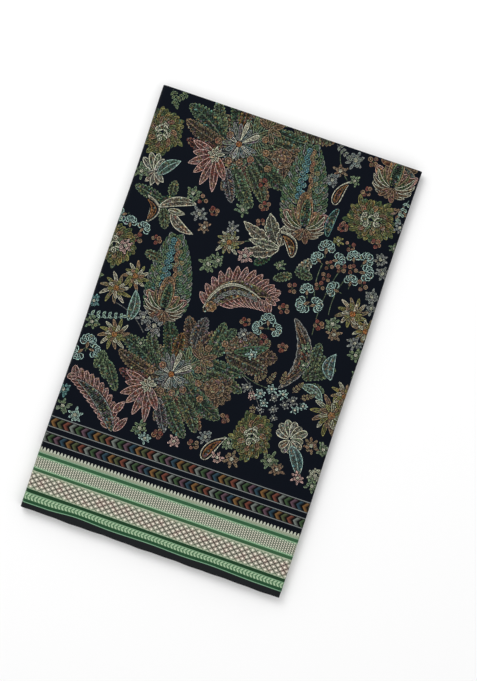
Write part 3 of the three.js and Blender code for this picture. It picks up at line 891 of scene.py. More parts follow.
def mesh_piece(name, points, faces, corner_attributes=None, point_attributes=None, slots=None):
    mesh = bpy.data.meshes.new(name)
    mesh.vertices.add(len(points))
    mesh.vertices.foreach_set("co", np.asarray(points, np.float32).ravel())
    sizes = np.array([len(f) for f in faces])
    mesh.loops.add(int(sizes.sum()))
    mesh.loops.foreach_set("vertex_index", np.concatenate([np.asarray(f) for f in faces]).astype(np.int32))
    mesh.polygons.add(len(faces))
    mesh.polygons.foreach_set("loop_start", np.concatenate([[0], np.cumsum(sizes)[:-1]]).astype(np.int32))
    mesh.update(calc_edges=True)
    mesh.polygons.foreach_set("use_smooth", np.ones(len(faces), bool))
    for domain, attributes in (("CORNER", corner_attributes or {}), ("POINT", point_attributes or {})):
        for key, values in attributes.items():
            attribute = mesh.attributes.new(key, "FLOAT_VECTOR", domain)
            attribute.data.foreach_set("vector", np.asarray(values, np.float32).ravel())
    if slots is not None:
        mesh.polygons.foreach_set("material_index", np.asarray(slots, np.int32))
    mesh.validate()
    piece = bpy.data.objects.new(name, mesh)
    bpy.context.scene.collection.objects.link(piece)
    return piece


def band_height(x, y):
    """Height above the hem as the border's stripes count it.

    The wave of the selvedge and the slope of the border are taken out.
    """
    height = y - hem_y(x)
    wave = selvedge_width(x) - MID_SELVEDGE
    low = height - wave * smooth((26 - height) / 16)
    slope = border_height(x) - MID_BORDER_LINE
    return low - slope * smooth((height - 30) / 45)


def sheet_grid(outer, inner, across, profile):
    """Points and panel places of a sheet.

    profile gives, for each row, y at each station and the depth below the outer face.
    """
    points, panels = [], []
    x_flat = outer[:, 0]
    for y, depth in profile:
        share = np.broadcast_to(depth / WALL, x_flat.shape)
        x = outer[:, 0] + (inner[:, 0] - outer[:, 0]) * share
        z = outer[:, 1] + (inner[:, 1] - outer[:, 1]) * share
        y = np.broadcast_to(y, x.shape)
        points.append(settled(x, y, z))
        panels.append(np.stack([across, band_height(x_flat, y), FOLD_Y - y], -1))
    return np.array(points), np.array(panels)


def grid_faces(rows, columns, flip=False):
    index = np.arange(rows * columns).reshape(rows, columns)
    quads = np.stack([index[:-1, :-1], index[:-1, 1:], index[1:, 1:], index[1:, :-1]], -1).reshape(-1, 4)
    return quads[:, ::-1] if flip else quads


def sheet_piece(name, stations, across, profile, printed, flip=False):
    outer, inner = stations
    points, panels = sheet_grid(outer, inner, across, profile)
    rows, columns = points.shape[:2]
    quads = grid_faces(rows, columns, flip)
    flat_points, flat_panels = points.reshape(-1, 3), panels.reshape(-1, 3)
    corners = {}
    if printed:
        x, y = flat_panels[quads][..., 0], flat_panels[quads][..., 2]
        for k, layer in enumerate(layer_attributes(x, y)):
            for key, values in layer.items():
                corners[f"{key}_{k}"] = values
    return mesh_piece(name, flat_points, quads, corners, {"panel": flat_panels})


TOP_TURN_UNDER = 10.0  # how far the cloth is followed under itself at the fold
FOLD_THICK = 0.9


def fold_profile(y_end):
    """Rows round the fold at the top end, from underneath the sheet to its outer face."""
    rows = [(y_end - TOP_TURN_UNDER, FOLD_THICK)]
    for angle in np.linspace(-90, 90, 7):
        turn = math.radians(angle)
        rows.append((y_end - FOLD_THICK / 2 * (1 - math.cos(turn)), FOLD_THICK / 2 * (1 - math.sin(turn))))
    return rows


def rows_between(low, high, count):
    """Rows of the outer face from high down to low, with both ends in."""
    return [(high + (low - high) * i / count, 0.0) for i in range(count + 1)]


def raised_rows(low, high, count, raise_by):
    """The same, lifted off the sheet except at both ends."""
    rows = rows_between(low, high, count)
    middle = [(y, -raise_by) for y, _ in rows[1:-1]]
    ramp = 0.8
    return [rows[0], (high - ramp, -raise_by), *middle, (low + ramp, -raise_by), rows[-1]]


CELLS_DOWN = 202
BORDER_ROWS, EDGE_ROWS = 30, 4
# The hem turns under, and a second ply shows behind it: y from the hem's edge, and depth, both in mm
HEM_TURN = ((-0.12, 0.12), (-0.1, 0.3), (0.1, 0.42), (7, 0.45))
SECOND_PLY = ((6, 0.52), (0.2, 0.54), (0, 0.62), (-0.05, 0.8), (0.15, 0.93), (6, 0.96))


def cloth_pieces(prefix, stations, across, hem, fold, flip, border_raise):
    """The printed field, woven border, dark edge and second ply of one sheet."""
    x = stations[0][:, 0]
    border = hem_y(x) + border_height(x)
    selvedge = hem_y(x) + selvedge_width(x)
    field_rows = fold_profile(fold) + rows_between(border, x * 0 + fold - FOLD_THICK / 2, CELLS_DOWN)[1:]
    field = sheet_piece(prefix + "_printed_field", stations, across, field_rows, True, flip)
    border_rows = raised_rows(selvedge, border, BORDER_ROWS, border_raise)
    woven = sheet_piece(prefix + "_woven_border", stations, across, border_rows, False, flip)
    edge_wave = 0.25 * np.sin(x / 13.0) + 0.2 * np.sin(x / 5.1 + 1)
    low = hem + edge_wave
    edge_rows = rows_between(low, selvedge, EDGE_ROWS) + [(low + past, depth) for past, depth in HEM_TURN]
    dark = sheet_piece(prefix + "_dark_edge", stations, across, edge_rows, False, flip)
    second = low + 0.9 + 0.4 * np.sin(x / 19.0 + 2)
    ply_rows = [(second + past, depth) for past, depth in SECOND_PLY]
    ply = sheet_piece(prefix + "_second_ply", stations, across, ply_rows, False, flip)
    return field, woven, dark, ply


# The sheets inside, as one solid whose edges are layered


def core_section():
    """Points (x, z, level, left layer, right layer) of the inner sheets' section, and its faces."""
    rows = []
    for row in range(SHEETS * ROWS_PER_SHEET + 1):
        sheet = min(SHEETS - 1, row // ROWS_PER_SHEET)
        share = row / ROWS_PER_SHEET - sheet
        rows.append(BOUNDS[sheet] + (BOUNDS[sheet + 1] - BOUNDS[sheet]) * share)
    points, faces = [], []
    centre_left = LEFT_CENTRE * ROWS_PER_SHEET

    def add(x, z, level, left, right):
        points.append((x, z, level, left, right))
        return len(points) - 1

    def right_layer(row):
        a, b, _ = next(nose for nose in NOSES if row <= nose[1] * ROWS_PER_SHEET)
        return abs(row - (a + b) / 2 * ROWS_PER_SHEET) // ROWS_PER_SHEET + a

    columns = []
    for x in np.linspace(LEFT_X, RIGHT_X, 56):
        columns.append([
            add(x, z, row % ROWS_PER_SHEET, abs(row - centre_left) // ROWS_PER_SHEET, right_layer(row))
            for row, z in enumerate(rows)
        ])
    for here, there in zip(columns, columns[1:]):
        faces += [(here[r], there[r], there[r + 1], here[r + 1]) for r in range(len(rows) - 1)]

    def nest(column, centre, reach, depth, side, steps=12):
        x, inner = points[column[centre]][0], None
        for level in range(1, reach + 1):
            up, down = rows[centre + level] - rows[centre], rows[centre] - rows[centre - level]
            like = points[column[centre + level]]
            ring = [column[centre + level]]
            for step in range(1, steps):
                angle = math.pi / 2 - math.pi * step / steps
                ring.append(add(*bend(x, rows[centre], up, down, side * depth * level / reach, angle), *like[2:]))
            ring.append(column[centre - level])
            for step in range(steps):
                face = (
                    (inner[step], inner[step + 1], ring[step + 1], ring[step])
                    if inner
                    else (column[centre], ring[step + 1], ring[step])
                )
                faces.append(face if side > 0 else face[::-1])
            inner = ring

    nest(columns[0], centre_left, centre_left, LEFT_FOLD_DEPTH - WALL - GAP, -1)
    for a, b, depth in NOSES:
        nest(columns[-1], (a + b) * ROWS_PER_SHEET // 2, (b - a) * ROWS_PER_SHEET // 2, depth, 1)
    return np.array(points), faces


# How far each row of a sheet's edge lies back in mm, at the hem with its two plies and at the fold
PLY_RECESS = (3.4, 0.35, 0.0, 0.35, 2.2, 0.5, 0.1, 0.4)
FOLD_RECESS = (3.0, 0.55, 0.22, 0.05, 0.0, 0.05, 0.22, 0.55)
LAYER_SHIFT = 53.0  # each hidden layer shows its print this much further along
FIELD_SLOT, BORDER_SLOT, EDGE_SLOT = 0, 1, 2


def inner_piece(name):
    """All the sheets inside as one closed piece, whose faces take the cloth of their height."""
    section, faces = core_section()
    x, z, level, left, right = section.T
    level = level.astype(int)
    across = smooth(share_across(x))

    def inset(phase, recess, plies):
        offset = np.sin(2.4 * left + phase) * (1 - across) + np.sin(1.9 * right + phase + 1) * across
        wave = 0.35 * np.sin(x / 11.0 + 3.1 * left + phase) + 0.25 * np.sin(x / 5.3 + 1.7 * left)
        ply = 0.35 * np.sin(x / 17.0 + left) * (level > 4) if plies else 0
        return CORE_INSET + UNEVEN * (1 + offset) + wave * 0.6 + ply + np.array(recess)[level]

    low = hem_y(x) + inset(0, PLY_RECESS, True)
    high = FOLD_Y - inset(2, FOLD_RECESS, False)
    marks = [0, 0.004, 0.0075, 0.02] + list(np.linspace(0.05, 0.14, 6)) + list(np.linspace(0.17, 1, 50))
    count = len(section)
    used_rim = {}
    for face in faces:
        for a, b in zip(face, face[1:] + face[:1]):
            if used_rim.pop((b, a), None) is None:
                used_rim[(a, b)] = True
    points = [np.stack([x, low, z], -1)]
    rim = sorted({a for a, _ in used_rim})
    place = {(0, v): v for v in range(count)}
    total = count
    for step, share in enumerate(marks[1:-1], 1):
        y = low[rim] + (high[rim] - low[rim]) * share
        points.append(np.stack([x[rim], y, z[rim]], -1))
        place.update({(step, v): total + i for i, v in enumerate(rim)})
        total += len(rim)
    points.append(np.stack([x, high, z], -1))
    last = len(marks) - 1
    place.update({(last, v): total + v for v in range(count)})
    points = np.concatenate(points)
    made, slots = [], []
    for face in faces:
        made += [face, tuple(total + v for v in face[::-1])]
        slots += [EDGE_SLOT, FIELD_SLOT]
    for a, b in used_rim:
        for step in range(last):
            made.append((place[step, b], place[step, a], place[step + 1, a], place[step + 1, b]))
    spots = np.array([points[list(face)].mean(0) for face in made[len(slots):]])
    heights = spots[:, 1] - hem_y(spots[:, 0])
    above_edge = np.where(heights < border_height(spots[:, 0]), BORDER_SLOT, FIELD_SLOT)
    slots += list(np.where(heights < selvedge_width(spots[:, 0]), EDGE_SLOT, above_edge))
    placed = settled(points[:, 0], points[:, 1], points[:, 2])
    sheet = np.searchsorted(BOUNDS, points[:, 2])
    nested = np.zeros(len(points))
    for (_, vertex), spot in place.items():
        nested[spot] = right[vertex] if x[vertex] > 0 else left[vertex]
    in_fold = (points[:, 0] > RIGHT_X) | (points[:, 0] < LEFT_X)
    layer = np.where(in_fold, nested, sheet)
    heights = band_height(points[:, 0], points[:, 1])
    panel = np.stack([points[:, 0] + LAYER_SHIFT * layer, heights, FOLD_Y - points[:, 1]], -1)
    return mesh_piece(name, placed, made, None, {"panel": panel}, slots)


# Materials


class Wire:
    """A number in a material's nodes. Sums and tests of wires add the nodes for them."""

    def __init__(self, tree, socket):
        self.tree, self.socket = tree, socket

    def math(self, operation, *others):
        node = self.tree.nodes.new("ShaderNodeMath")
        node.operation = operation
        for value, entry in zip((self, *others), node.inputs):
            connect(self.tree, value, entry)
        return Wire(self.tree, node.outputs[0])

    def __add__(self, other):
        return self.math("ADD", other)

    def __sub__(self, other):
        return self.math("SUBTRACT", other)

    def __mul__(self, other):
        return self.math("MULTIPLY", other)

    def __truediv__(self, other):
        return self.math("DIVIDE", other)

    def __pow__(self, other):
        return self.math("POWER", other)

    def __gt__(self, other):
        return self.math("GREATER_THAN", other)

    def __lt__(self, other):
        return self.math("LESS_THAN", other)

    def __abs__(self):
        return self.math("ABSOLUTE")

    def fraction(self):
        return self.math("FRACT")

    def __rsub__(self, number):
        node = self.tree.nodes.new("ShaderNodeMath")
        node.operation = "SUBTRACT"
        connect(self.tree, number, node.inputs[0])
        connect(self.tree, self, node.inputs[1])
        return Wire(self.tree, node.outputs[0])

    def flipped(self):
        """One minus the number."""
        return 1.0 - self

    def between(self, low, high):
        return (self > low) * (self < high)

    def ramp(self, low, high):
        """0 below low, 1 above high and smooth in between."""
        node = self.tree.nodes.new("ShaderNodeMapRange")
        node.interpolation_type = "SMOOTHSTEP"
        connect(self.tree, self, node.inputs["Value"])
        connect(self.tree, low, node.inputs["From Min"])
        connect(self.tree, high, node.inputs["From Max"])
        return Wire(self.tree, node.outputs["Result"])


def connect(tree, value, entry):
    if isinstance(value, Wire):
        tree.links.new(value.socket, entry)
    elif isinstance(value, bpy.types.NodeSocket):
        tree.links.new(value, entry)
    else:
        entry.default_value = value


def split(tree, vector):
    node = tree.nodes.new("ShaderNodeSeparateXYZ")
    tree.links.new(vector, node.inputs[0])
    return [Wire(tree, output) for output in node.outputs]


def joined(tree, x, y, z=0.0):
    node = tree.nodes.new("ShaderNodeCombineXYZ")
    for value, entry in zip((x, y, z), node.inputs):
        connect(tree, value, entry)
    return node.outputs[0]


def attribute(tree, name):
    node = tree.nodes.new("ShaderNodeAttribute")
    node.attribute_name = name
    return node.outputs["Vector"]


def screen_colour(rgb):
    return (*linear(rgb), 1.0)


def colour_of(name):
    return screen_colour(INKS[name])


def mixed(tree, amount, a, b, blend="MIX"):
    node = tree.nodes.new("ShaderNodeMix")
    node.data_type = "RGBA"
    node.blend_type = blend
    connect(tree, amount, node.inputs[0])
    connect(tree, a, node.inputs[6])
    connect(tree, b, node.inputs[7])
    return node.outputs[2]


def dimmed(tree, colour, amount):
    """The colour times a number, in all three channels."""
    return mixed(tree, 1.0, colour, joined(tree, amount, amount, amount), "MULTIPLY")


def steps(tree, place, colours, marks=None):
    """A colour that changes in steps. marks are where each one starts, as shares from 0 to 1."""
    node = tree.nodes.new("ShaderNodeValToRGB")
    bands = node.color_ramp
    bands.interpolation = "CONSTANT"
    marks = marks or [i / len(colours) for i in range(len(colours))]
    for mark, colour in zip(marks[1:-1], colours[1:-1]):
        bands.elements.new(mark).color = colour
    elements = sorted(bands.elements, key=lambda e: e.position)
    elements[0].position, elements[0].color = marks[0], colours[0]
    elements[-1].position, elements[-1].color = marks[-1], colours[-1]
    connect(tree, place, node.inputs[0])
    return node.outputs[0]


def picked(tree, index, rows, count):
    """The row of a table for a whole-numbered index."""
    return steps(tree, (index + 0.5) / float(count), rows)


def noise(tree, vector, scale, detail=2.0, roughness=0.5):
    node = tree.nodes.new("ShaderNodeTexNoise")
    tree.links.new(vector, node.inputs["Vector"])
    node.inputs["Scale"].default_value = scale
    node.inputs["Detail"].default_value = detail
    node.inputs["Roughness"].default_value = roughness
    return Wire(tree, node.outputs[0])


def ink_at(tree, index):
    return picked(tree, index, [colour_of(name) for name in INK_NAMES], len(INK_NAMES))


def style_at(tree, style):
    """The style's numbers: outline, midrib, hatching's strength, its pitch, rings, dots and stipple."""
    rows = list(STYLES.values())
    first = picked(tree, style, [(r[0], r[1], r[2], 1.0) for r in rows], len(rows))
    second = picked(tree, style, [(r[3] / 4, r[4], r[5], 1.0) for r in rows], len(rows))
    third = picked(tree, style, [(r[6], r[6], r[6], 1.0) for r in rows], len(rows))
    return *split(tree, first), *split(tree, second), split(tree, third)[0]


def grains(tree, vector, scale):
    """Random cells: how far a point is from its cell's middle, and three random numbers of the cell."""
    cell = tree.nodes.new("ShaderNodeTexVoronoi")
    cell.voronoi_dimensions = "2D"
    cell.inputs["Scale"].default_value = scale
    tree.links.new(vector, cell.inputs["Vector"])
    return Wire(tree, cell.outputs["Distance"]), *split(tree, cell.outputs["Color"])


def motif_group():
    """One layer of print: it lays a motif over the colour below it."""
    tree = bpy.data.node_groups.new("printed_motif", "ShaderNodeTree")
    for key in ("place", "size", "inks", "form", "panel"):
        tree.interface.new_socket(key, in_out="INPUT", socket_type="NodeSocketVector")
    tree.interface.new_socket("below", in_out="INPUT", socket_type="NodeSocketColor")
    tree.interface.new_socket("colour", in_out="OUTPUT", socket_type="NodeSocketColor")
    into = tree.nodes.new("NodeGroupInput")
    u, v, code = split(tree, into.outputs["place"])
    length, width, kind = split(tree, into.outputs["size"])
    body, line, n = split(tree, into.outputs["inks"])
    p, q, depth = split(tree, into.outputs["form"])
    style = code.math("FLOOR")
    chance_here = code.fraction()
    outline, midrib, hatch, pitch, rings, dots, stipple = style_at(tree, style)
    pitch = pitch * 4.0

    # Leaf: the half width at this share of the length, with lobes that lean to the tip
    s = (u / length).math("MAXIMUM", 0.0).math("MINIMUM", 1.0)
    half = width * s**p * s.flipped() ** q
    beside = abs(v)
    lean = beside / (half + 0.5)
    lobe = (s * n - lean * 0.8 * (n > 0.5)).fraction()
    notch = abs(lobe - 0.5) * 2.0
    past_ends = abs(u - length * 0.5) - length * 0.5
    leaf_edge = half * (notch * notch * depth).flipped() - beside - past_ends.math("MAXIMUM", 0.0)

    # Flower: the radius at this angle
    radius = (u * u + v * v).math("SQRT")
    angle = v.math("ARCTAN2", u)
    wave = abs((angle * n * 0.5).math("COSINE"))
    rim = length * ((wave**q).flipped() * depth).flipped()
    bloom_edge = rim - radius

    edge = leaf_edge + (bloom_edge - leaf_edge) * kind
    inside = edge > 0.0
    depth_in = edge / (length * kind + (half + 0.2) * kind.flipped())

    # Fill: stippled body, dark between the lobes, veins, dots, rings, midrib and heart
    speck = noise(tree, into.outputs["panel"], 0.9, 1.0)
    body_ink, line_ink = ink_at(tree, body), ink_at(tree, line)
    from_middle, bright, hue, other = grains(tree, into.outputs["panel"], 0.46)
    pebble = (bright**2.2 * 3.1 + 0.02) * (from_middle.ramp(0.3, 0.7) * 0.7).flipped()
    shade = (pebble - 1.0) * stipple + 1.0
    shade = shade * (chance_here * 0.3 + 0.85) * INK_STRENGTH
    fill = mixed(tree, (hue > 0.76) * stipple * 0.7, body_ink, line_ink)
    for cells, strength, ink in (
        (other > 0.82, 0.85, "ochre"),
        (other < 0.15, 0.8, "aqua"),
        (hue.between(0.0, 0.13), 0.8, "mauve"),
        (hue.between(0.5, 0.6), 0.8, "yellow"),
    ):
        fill = mixed(tree, cells * stipple * strength, fill, colour_of(ink))
    fill = dimmed(tree, fill, shade)
    lobed = (n > 0.5) * kind.flipped()
    fill = mixed(tree, notch.ramp(0.42, 0.78) * lobed * (lean > 0.1) * 0.9, fill, colour_of("navy"))
    vein = ((u - beside * 0.9) / pitch).fraction() < 0.34
    fine_ink = mixed(tree, 1.0, line_ink, (0.72, 0.72, 0.72, 1.0), "MULTIPLY")
    fill = mixed(tree, vein * hatch * speck, fill, fine_ink)
    spot_x = (u / 2.6).fraction() - 0.5
    spot_y = (v / 2.4 + (u / 2.6).math("FLOOR") * 0.5).fraction() - 0.5
    spot = (spot_x * spot_x + spot_y * spot_y) < 0.06
    fill = mixed(tree, spot * dots * kind.flipped() * 0.75, fill, fine_ink)
    ring = ((edge / 2.4).fraction() < 0.3) * (edge > outline)
    fill = mixed(tree, ring * rings * 0.7, fill, line_ink)
    petal_gap = (wave < 0.3) * (n > 0.5) * kind * (radius > length * p)
    fill = mixed(tree, petal_gap * 0.75, fill, colour_of("navy"))
    fill = mixed(tree, depth_in.ramp(0.05, 0.6) * stipple * 0.5, fill, colour_of("navy"))
    fill = mixed(tree, (beside < midrib) * kind.flipped() * (speck.ramp(0.25, 0.5)) * 0.85, fill, fine_ink)
    heart = (radius < length * p) * kind
    fill = mixed(tree, heart * 0.8, fill, fine_ink)
    fleck = noise(tree, into.outputs["panel"], 0.5, 1.0).ramp(0.36, 0.64)
    fill = dimmed(tree, fill, fleck * 1.15 + 0.34)
    bright_line = dimmed(tree, line_ink, fleck * 0.7 + 0.9)
    stroke = (edge < outline) * (speck.ramp(0.34, 0.52) * 0.85 + 0.12)
    drawn = mixed(tree, stroke, fill, bright_line)
    halo = (edge > -HALO) * (outline > 0.1)
    below = mixed(tree, halo, into.outputs["below"], colour_of("navy"))
    out = tree.nodes.new("NodeGroupOutput")
    connect(tree, mixed(tree, inside, below, drawn), out.inputs[0])
    return tree


BAND_TOP = 130.0
# Each plain band of the border: where it starts above the hem in mm, and its colour, read off the photo
# and then adjusted until the render's tones came close to it
BANDS = (
    (0.0, (26, 28, 30)),
    (8.5, (118, 160, 128)),
    (9.3, (30, 68, 42)),
    (13.2, (74, 108, 78)),
    (19.7, (120, 156, 122)),
    (20.4, (24, 56, 32)),
    (24.4, (150, 172, 146)),
    (25.2, (166, 160, 144)),
    (48.4, (150, 172, 144)),
    (49.2, (50, 84, 56)),
    (53.2, (126, 156, 124)),
    (54.2, (64, 78, 62)),
    (69.4, (126, 156, 124)),
    (70.3, (46, 84, 56)),
    (74.6, (122, 152, 124)),
    (75.6, (128, 138, 118)),
    (78.9, (2, 7, 16)),
    (89.2, (116, 120, 118)),
    (90.1, (2, 3, 5)),
    (101.9, (116, 120, 118)),
    (102.8, (1, 6, 16)),
    (109.4, (116, 120, 118)),
    (110.3, (2, 3, 5)),
    (122.8, (116, 120, 118)),
    (123.7, (1, 6, 17)),
)
# Where the border's figures lie: mm above the hem, and their pitch in mm
WHEAT_MIDDLE, WHEAT_REACH, WHEAT_PITCH = 16.5, 3.1, 4.4
LATTICE_BAND, LATTICE_ACROSS, LATTICE_UP = (25.2, 48.3), 8.9, 7.0
LATTICE_MIDDLE, LATTICE_REACH = 36.8, 11.6
DOT_BAND, DOT_ACROSS, DOT_UP = (54.2, 69.4), 3.0, 2.3
DOT_MIDDLE, DOT_REACH = 61.8, 8.6
TEETH_FOOT, TOOTH_PITCH = 78.9, 4.4
CHEVRON_ROWS = ((90.1, 101.9, 3.0), (110.3, 122.8, 29.0))  # low edge, high edge, shift along the row
CHEVRON_PITCH = 7.9
CHEVRONS = ((104, 110, 104), (56, 76, 50), (86, 64, 74), (40, 62, 74), (110, 80, 46), (70, 76, 50), (102, 58, 46))


def striped(tree, x, height):
    """The border's bands and their woven and printed figures."""
    starts = [start / BAND_TOP for start, _ in BANDS]
    base = steps(tree, height / BAND_TOP, [screen_colour(rgb) for _, rgb in BANDS], starts)

    # Wheat row: pale chevrons that point left on green
    arm = abs(height - WHEAT_MIDDLE)
    wheat = (((x - arm * 0.75) / WHEAT_PITCH).fraction() < 0.54) * (arm < WHEAT_REACH)
    base = mixed(tree, wheat * 0.9, base, screen_colour((164, 188, 154)))
    base = mixed(tree, (arm < 0.35) * 0.6, base, screen_colour((60, 104, 70)))

    # Lattice: thin dark diagonals round light-hearted diamonds, some of them pinkish
    one = (x / LATTICE_ACROSS + height / LATTICE_UP).fraction() - 0.5
    two = (x / LATTICE_ACROSS - height / LATTICE_UP).fraction() - 0.5
    nearest = abs(one).math("MAXIMUM", abs(two))
    patch = noise(tree, joined(tree, x, height), 0.09, 2.0).ramp(0.45, 0.65)
    ground = mixed(tree, patch * 0.6, screen_colour((172, 172, 154)), screen_colour((188, 158, 148)))
    lattice = mixed(tree, nearest.between(0.2, 0.28), ground, screen_colour((120, 110, 98)))
    lattice = mixed(tree, nearest < 0.17, lattice, screen_colour((236, 230, 214)))
    lattice = mixed(tree, nearest > 0.4, lattice, screen_colour((46, 40, 38)))
    tint = (abs(height - LATTICE_MIDDLE) / LATTICE_REACH) ** 4.0
    lattice = mixed(tree, tint * 0.4, lattice, screen_colour((150, 186, 146)))
    base = mixed(tree, height.between(*LATTICE_BAND), base, lattice)

    # Dotted band
    dot_x = (x / DOT_ACROSS).fraction() - 0.5
    dot_y = (height / DOT_UP + (x / DOT_ACROSS).math("FLOOR") * 0.5).fraction() - 0.5
    dot = (dot_x * dot_x + dot_y * dot_y) < 0.13
    base = mixed(tree, dot * height.between(*DOT_BAND), base, screen_colour((200, 196, 180)))
    edge_tint = height.between(53.0, 70.5) * (abs(height - DOT_MIDDLE) / DOT_REACH) ** 3.0
    base = mixed(tree, edge_tint * 0.45, base, screen_colour((136, 182, 142)))

    # Teeth: round pegs above the pale band
    tooth = abs((x / TOOTH_PITCH).fraction() - 0.5) * 2.0
    rise = (height - TEETH_FOOT) / 4.0
    teeth = (tooth < (rise * rise * 0.7).flipped() * 0.68) * height.between(78.8, 82.6)
    base = mixed(tree, teeth, base, screen_colour((174, 178, 162)))
    band_dots = ((x / 2.2).fraction() < 0.4) * height.between(76.4, TEETH_FOOT)
    base = mixed(tree, band_dots * 0.5, base, screen_colour((172, 170, 148)))

    # Two rows of printed chevrons that point left
    count = float(len(CHEVRONS))
    for low, high, shift in CHEVRON_ROWS:
        middle, reach = (low + high) / 2, (high - low) / 2
        rise = abs(height - middle)
        along = (x + shift - rise * 0.85) / CHEVRON_PITCH
        turn = ((along / count).fraction() * count).math("FLOOR")
        ink = picked(tree, turn, [screen_colour(rgb) for rgb in CHEVRONS], len(CHEVRONS))
        part = along.fraction()
        arrow = (part < 0.64) * (rise < reach - 0.9) * (part.ramp(0.08, 0.64) * 0.75).flipped()
        base = mixed(tree, arrow, base, ink)
    return base


def cloth_material(name, layers, roughness, sheen, hidden_print=False):
    """Cloth with the border's bands, and with its printed motifs or a loose hint of them."""
    material = bpy.data.materials.new(name)
    material.use_nodes = True
    tree = material.node_tree
    shader = tree.nodes["Principled BSDF"]
    panel = attribute(tree, "panel")
    x, height, down = split(tree, panel)
    flat = joined(tree, x, down)
    colour = striped(tree, x, height)
    field = height > BANDS[-1][0]
    if hidden_print:
        _, hue, _, _ = grains(tree, flat, 0.12)
        from_middle, bright, _, _ = grains(tree, flat, 0.5)
        ink = ink_at(tree, (hue * float(len(INK_NAMES))).math("FLOOR"))
        pebble = bright * (from_middle.ramp(0.2, 0.7) * 0.8).flipped() * INK_STRENGTH
        ink = dimmed(tree, ink, pebble)
        amount = noise(tree, flat, 0.05, 2.0).ramp(0.44, 0.56)
        colour = mixed(tree, amount * field, colour, ink)
    for k in range(layers):
        layer = tree.nodes.new("ShaderNodeGroup")
        layer.node_tree = MOTIF_GROUP
        for key in ("place", "size", "inks", "form"):
            tree.links.new(attribute(tree, f"{key}_{k}"), layer.inputs[key])
        tree.links.new(flat, layer.inputs["panel"])
        tree.links.new(colour, layer.inputs["below"])
        colour = layer.outputs[0]

    # Threads: slight streaks along and across, and a fine relief
    warp = noise(tree, joined(tree, x * 1.6, down * 0.12), 1.0, 2.0)
    weft = noise(tree, joined(tree, x * 0.12, down * 1.6), 1.0, 2.0)
    connect(tree, dimmed(tree, colour, (warp + weft) * 0.34 + 0.66), shader.inputs["Base Color"])
    thread = (x * 9.0).math("SINE") * (down * 9.0).math("SINE")
    relief = thread * 0.5 + warp * 0.8 + weft * 0.8
    bump = tree.nodes.new("ShaderNodeBump")
    bump.inputs["Strength"].default_value = 0.35
    bump.inputs["Distance"].default_value = 0.00012
    connect(tree, relief, bump.inputs["Height"])
    tree.links.new(bump.outputs[0], shader.inputs["Normal"])
    shader.inputs["Roughness"].default_value = roughness
    shader.inputs["Sheen Weight"].default_value = sheen
    shader.inputs["Sheen Roughness"].default_value = 0.45
    shader.inputs["Specular IOR Level"].default_value = 0.08
    return material


MOTIF_GROUP = motif_group()
printed = cloth_material("printed_cloth", LAYERS, 0.72, 0.02)
brocade = cloth_material("woven_border", 0, 0.55, 0.05)
dark_weave = cloth_material("selvedge_weave", 0, 0.8, 0.03)
hidden = cloth_material("inner_cloth", 0, 0.75, 0.02, hidden_print=True)


# Pieces

top = top_stations()
across_top, left_flat = arc_lengths(top[0], LEFT_X)
across_top = across_top - left_flat + LEFT_FOLD_DEPTH
low_sheet = under_stations()
across_low, _ = arc_lengths(low_sheet[0], LEFT_X)
across_low = across_top[0] - across_low

xs_top, xs_low = top[0][:, 0], low_sheet[0][:, 0]
upper = cloth_pieces("top", top, across_top, hem_y(xs_top), FOLD_Y, False, BORDER_RAISE)
INSET_EASE = 70  # the lowest sheet draws back over this many mm from the left fold
low_inset = UNDER_INSET * smooth((xs_low - xs_low[0]) / INSET_EASE)
lower = cloth_pieces("under", low_sheet, across_low, hem_y(xs_low) + low_inset, FOLD_Y - low_inset, True, 0.0)
inner = inner_piece("inner_sheets_cloth")

for group_name, group_pieces in (("top", upper), ("under", lower)):
    field_piece, border_piece, edge_piece, ply_piece = group_pieces
    for piece, material, node, slot in (
        (field_piece, printed, "field", "printed_cloth"),
        (border_piece, brocade, "border", "woven_border"),
        (edge_piece, dark_weave, "selvedge", "selvedge"),
        (ply_piece, dark_weave, None, "selvedge"),
    ):
        piece.data.materials.append(material)
        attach(piece, "root")
        if node:
            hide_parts(f"{group_name}_{node}")
for material in (hidden, brocade, dark_weave):
    inner.data.materials.append(material)
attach(inner, "root")
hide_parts("inner_sheets")

TOP_WIDTH = float(across_top[-1] - across_top[0]) * MM
UNDER_WIDTH = float(across_low[0] - across_low[-1]) * MM
for group_pieces, wide, edge_down in ((upper, TOP_WIDTH, 0.016), (lower, UNDER_WIDTH, 0.0136)):
    field_piece, border_piece, edge_piece, ply_piece = group_pieces


# Floor, light and camera

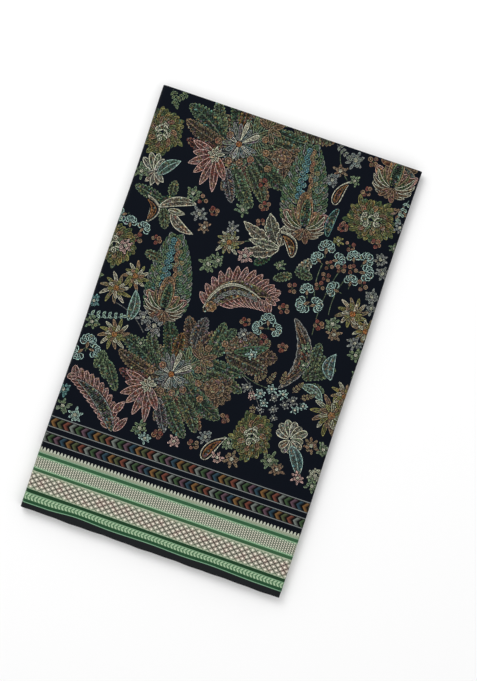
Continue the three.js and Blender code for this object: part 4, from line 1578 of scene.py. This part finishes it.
TILT = math.radians(18.67)  # the photo shows the bundle turned this far clockwise
PHOTO_HEIGHT = 0.8579  # what the photo shows from top to bottom, at the cloth
LENS, SENSOR = 85.0, 36.0
OFF_CENTRE = (0.0222, 0.0007)  # the camera's aim from the middle of the bundle, in the photo's axes


def plain(name, rgb, rough):
    material = bpy.data.materials.new(name)
    material.use_nodes = True
    tree = material.node_tree
    shader = tree.nodes["Principled BSDF"]
    shader.inputs["Roughness"].default_value = rough
    place = tree.nodes.new("ShaderNodeTexCoord").outputs["Object"]
    tone = noise(tree, place, 3.0)
    darker = (rgb[0] * 0.97, rgb[1] * 0.97, rgb[2] * 0.97, 1.0)
    connect(tree, mixed(tree, tone * 0.1, (*rgb, 1.0), darker), shader.inputs["Base Color"])
    return material


bpy.ops.mesh.primitive_plane_add(size=14, location=(0, 0, -0.0002))
floor = bpy.context.object
floor.name = "floor"
floor.data.materials.append(plain("pale_floor", (0.9, 0.9, 0.9), 0.9))

world = bpy.data.worlds.new("studio")
bpy.context.scene.world = world
world.use_nodes = True
world.node_tree.nodes["Background"].inputs[0].default_value = (1.0, 1.0, 1.0, 1.0)
world.node_tree.nodes["Background"].inputs[1].default_value = 0.62


def soft_light(name, place, size, power):
    data = bpy.data.lights.new(name, "AREA")
    data.shape, data.size, data.energy = "SQUARE", size, power
    light = bpy.data.objects.new(name, data)
    light.location = place
    light.rotation_euler = (-light.location).to_track_quat("-Z", "Y").to_euler()
    bpy.context.scene.collection.objects.link(light)


soft_light("key", (-1.2, 1.1, 2.2), 1.6, 42.0)
soft_light("fill", (1.6, -0.9, 2.4), 2.0, 16.0)

camera_data = bpy.data.cameras.new("camera")
camera = bpy.data.objects.new("camera", camera_data)
bpy.context.scene.collection.objects.link(camera)
bpy.context.scene.camera = camera
camera_data.lens, camera_data.sensor_width = LENS, SENSOR
right_way = np.array([math.cos(TILT), math.sin(TILT)])
up_way = np.array([-math.sin(TILT), math.cos(TILT)])
aim = right_way * OFF_CENTRE[0] + up_way * OFF_CENTRE[1]
distance = PHOTO_HEIGHT / 2 / (SENSOR / 2 / LENS)
camera.location = (aim[0], aim[1], distance + THICKNESS * MM)
camera.rotation_euler = (0, 0, TILT)
bpy.context.scene.view_settings.view_transform = "Standard"
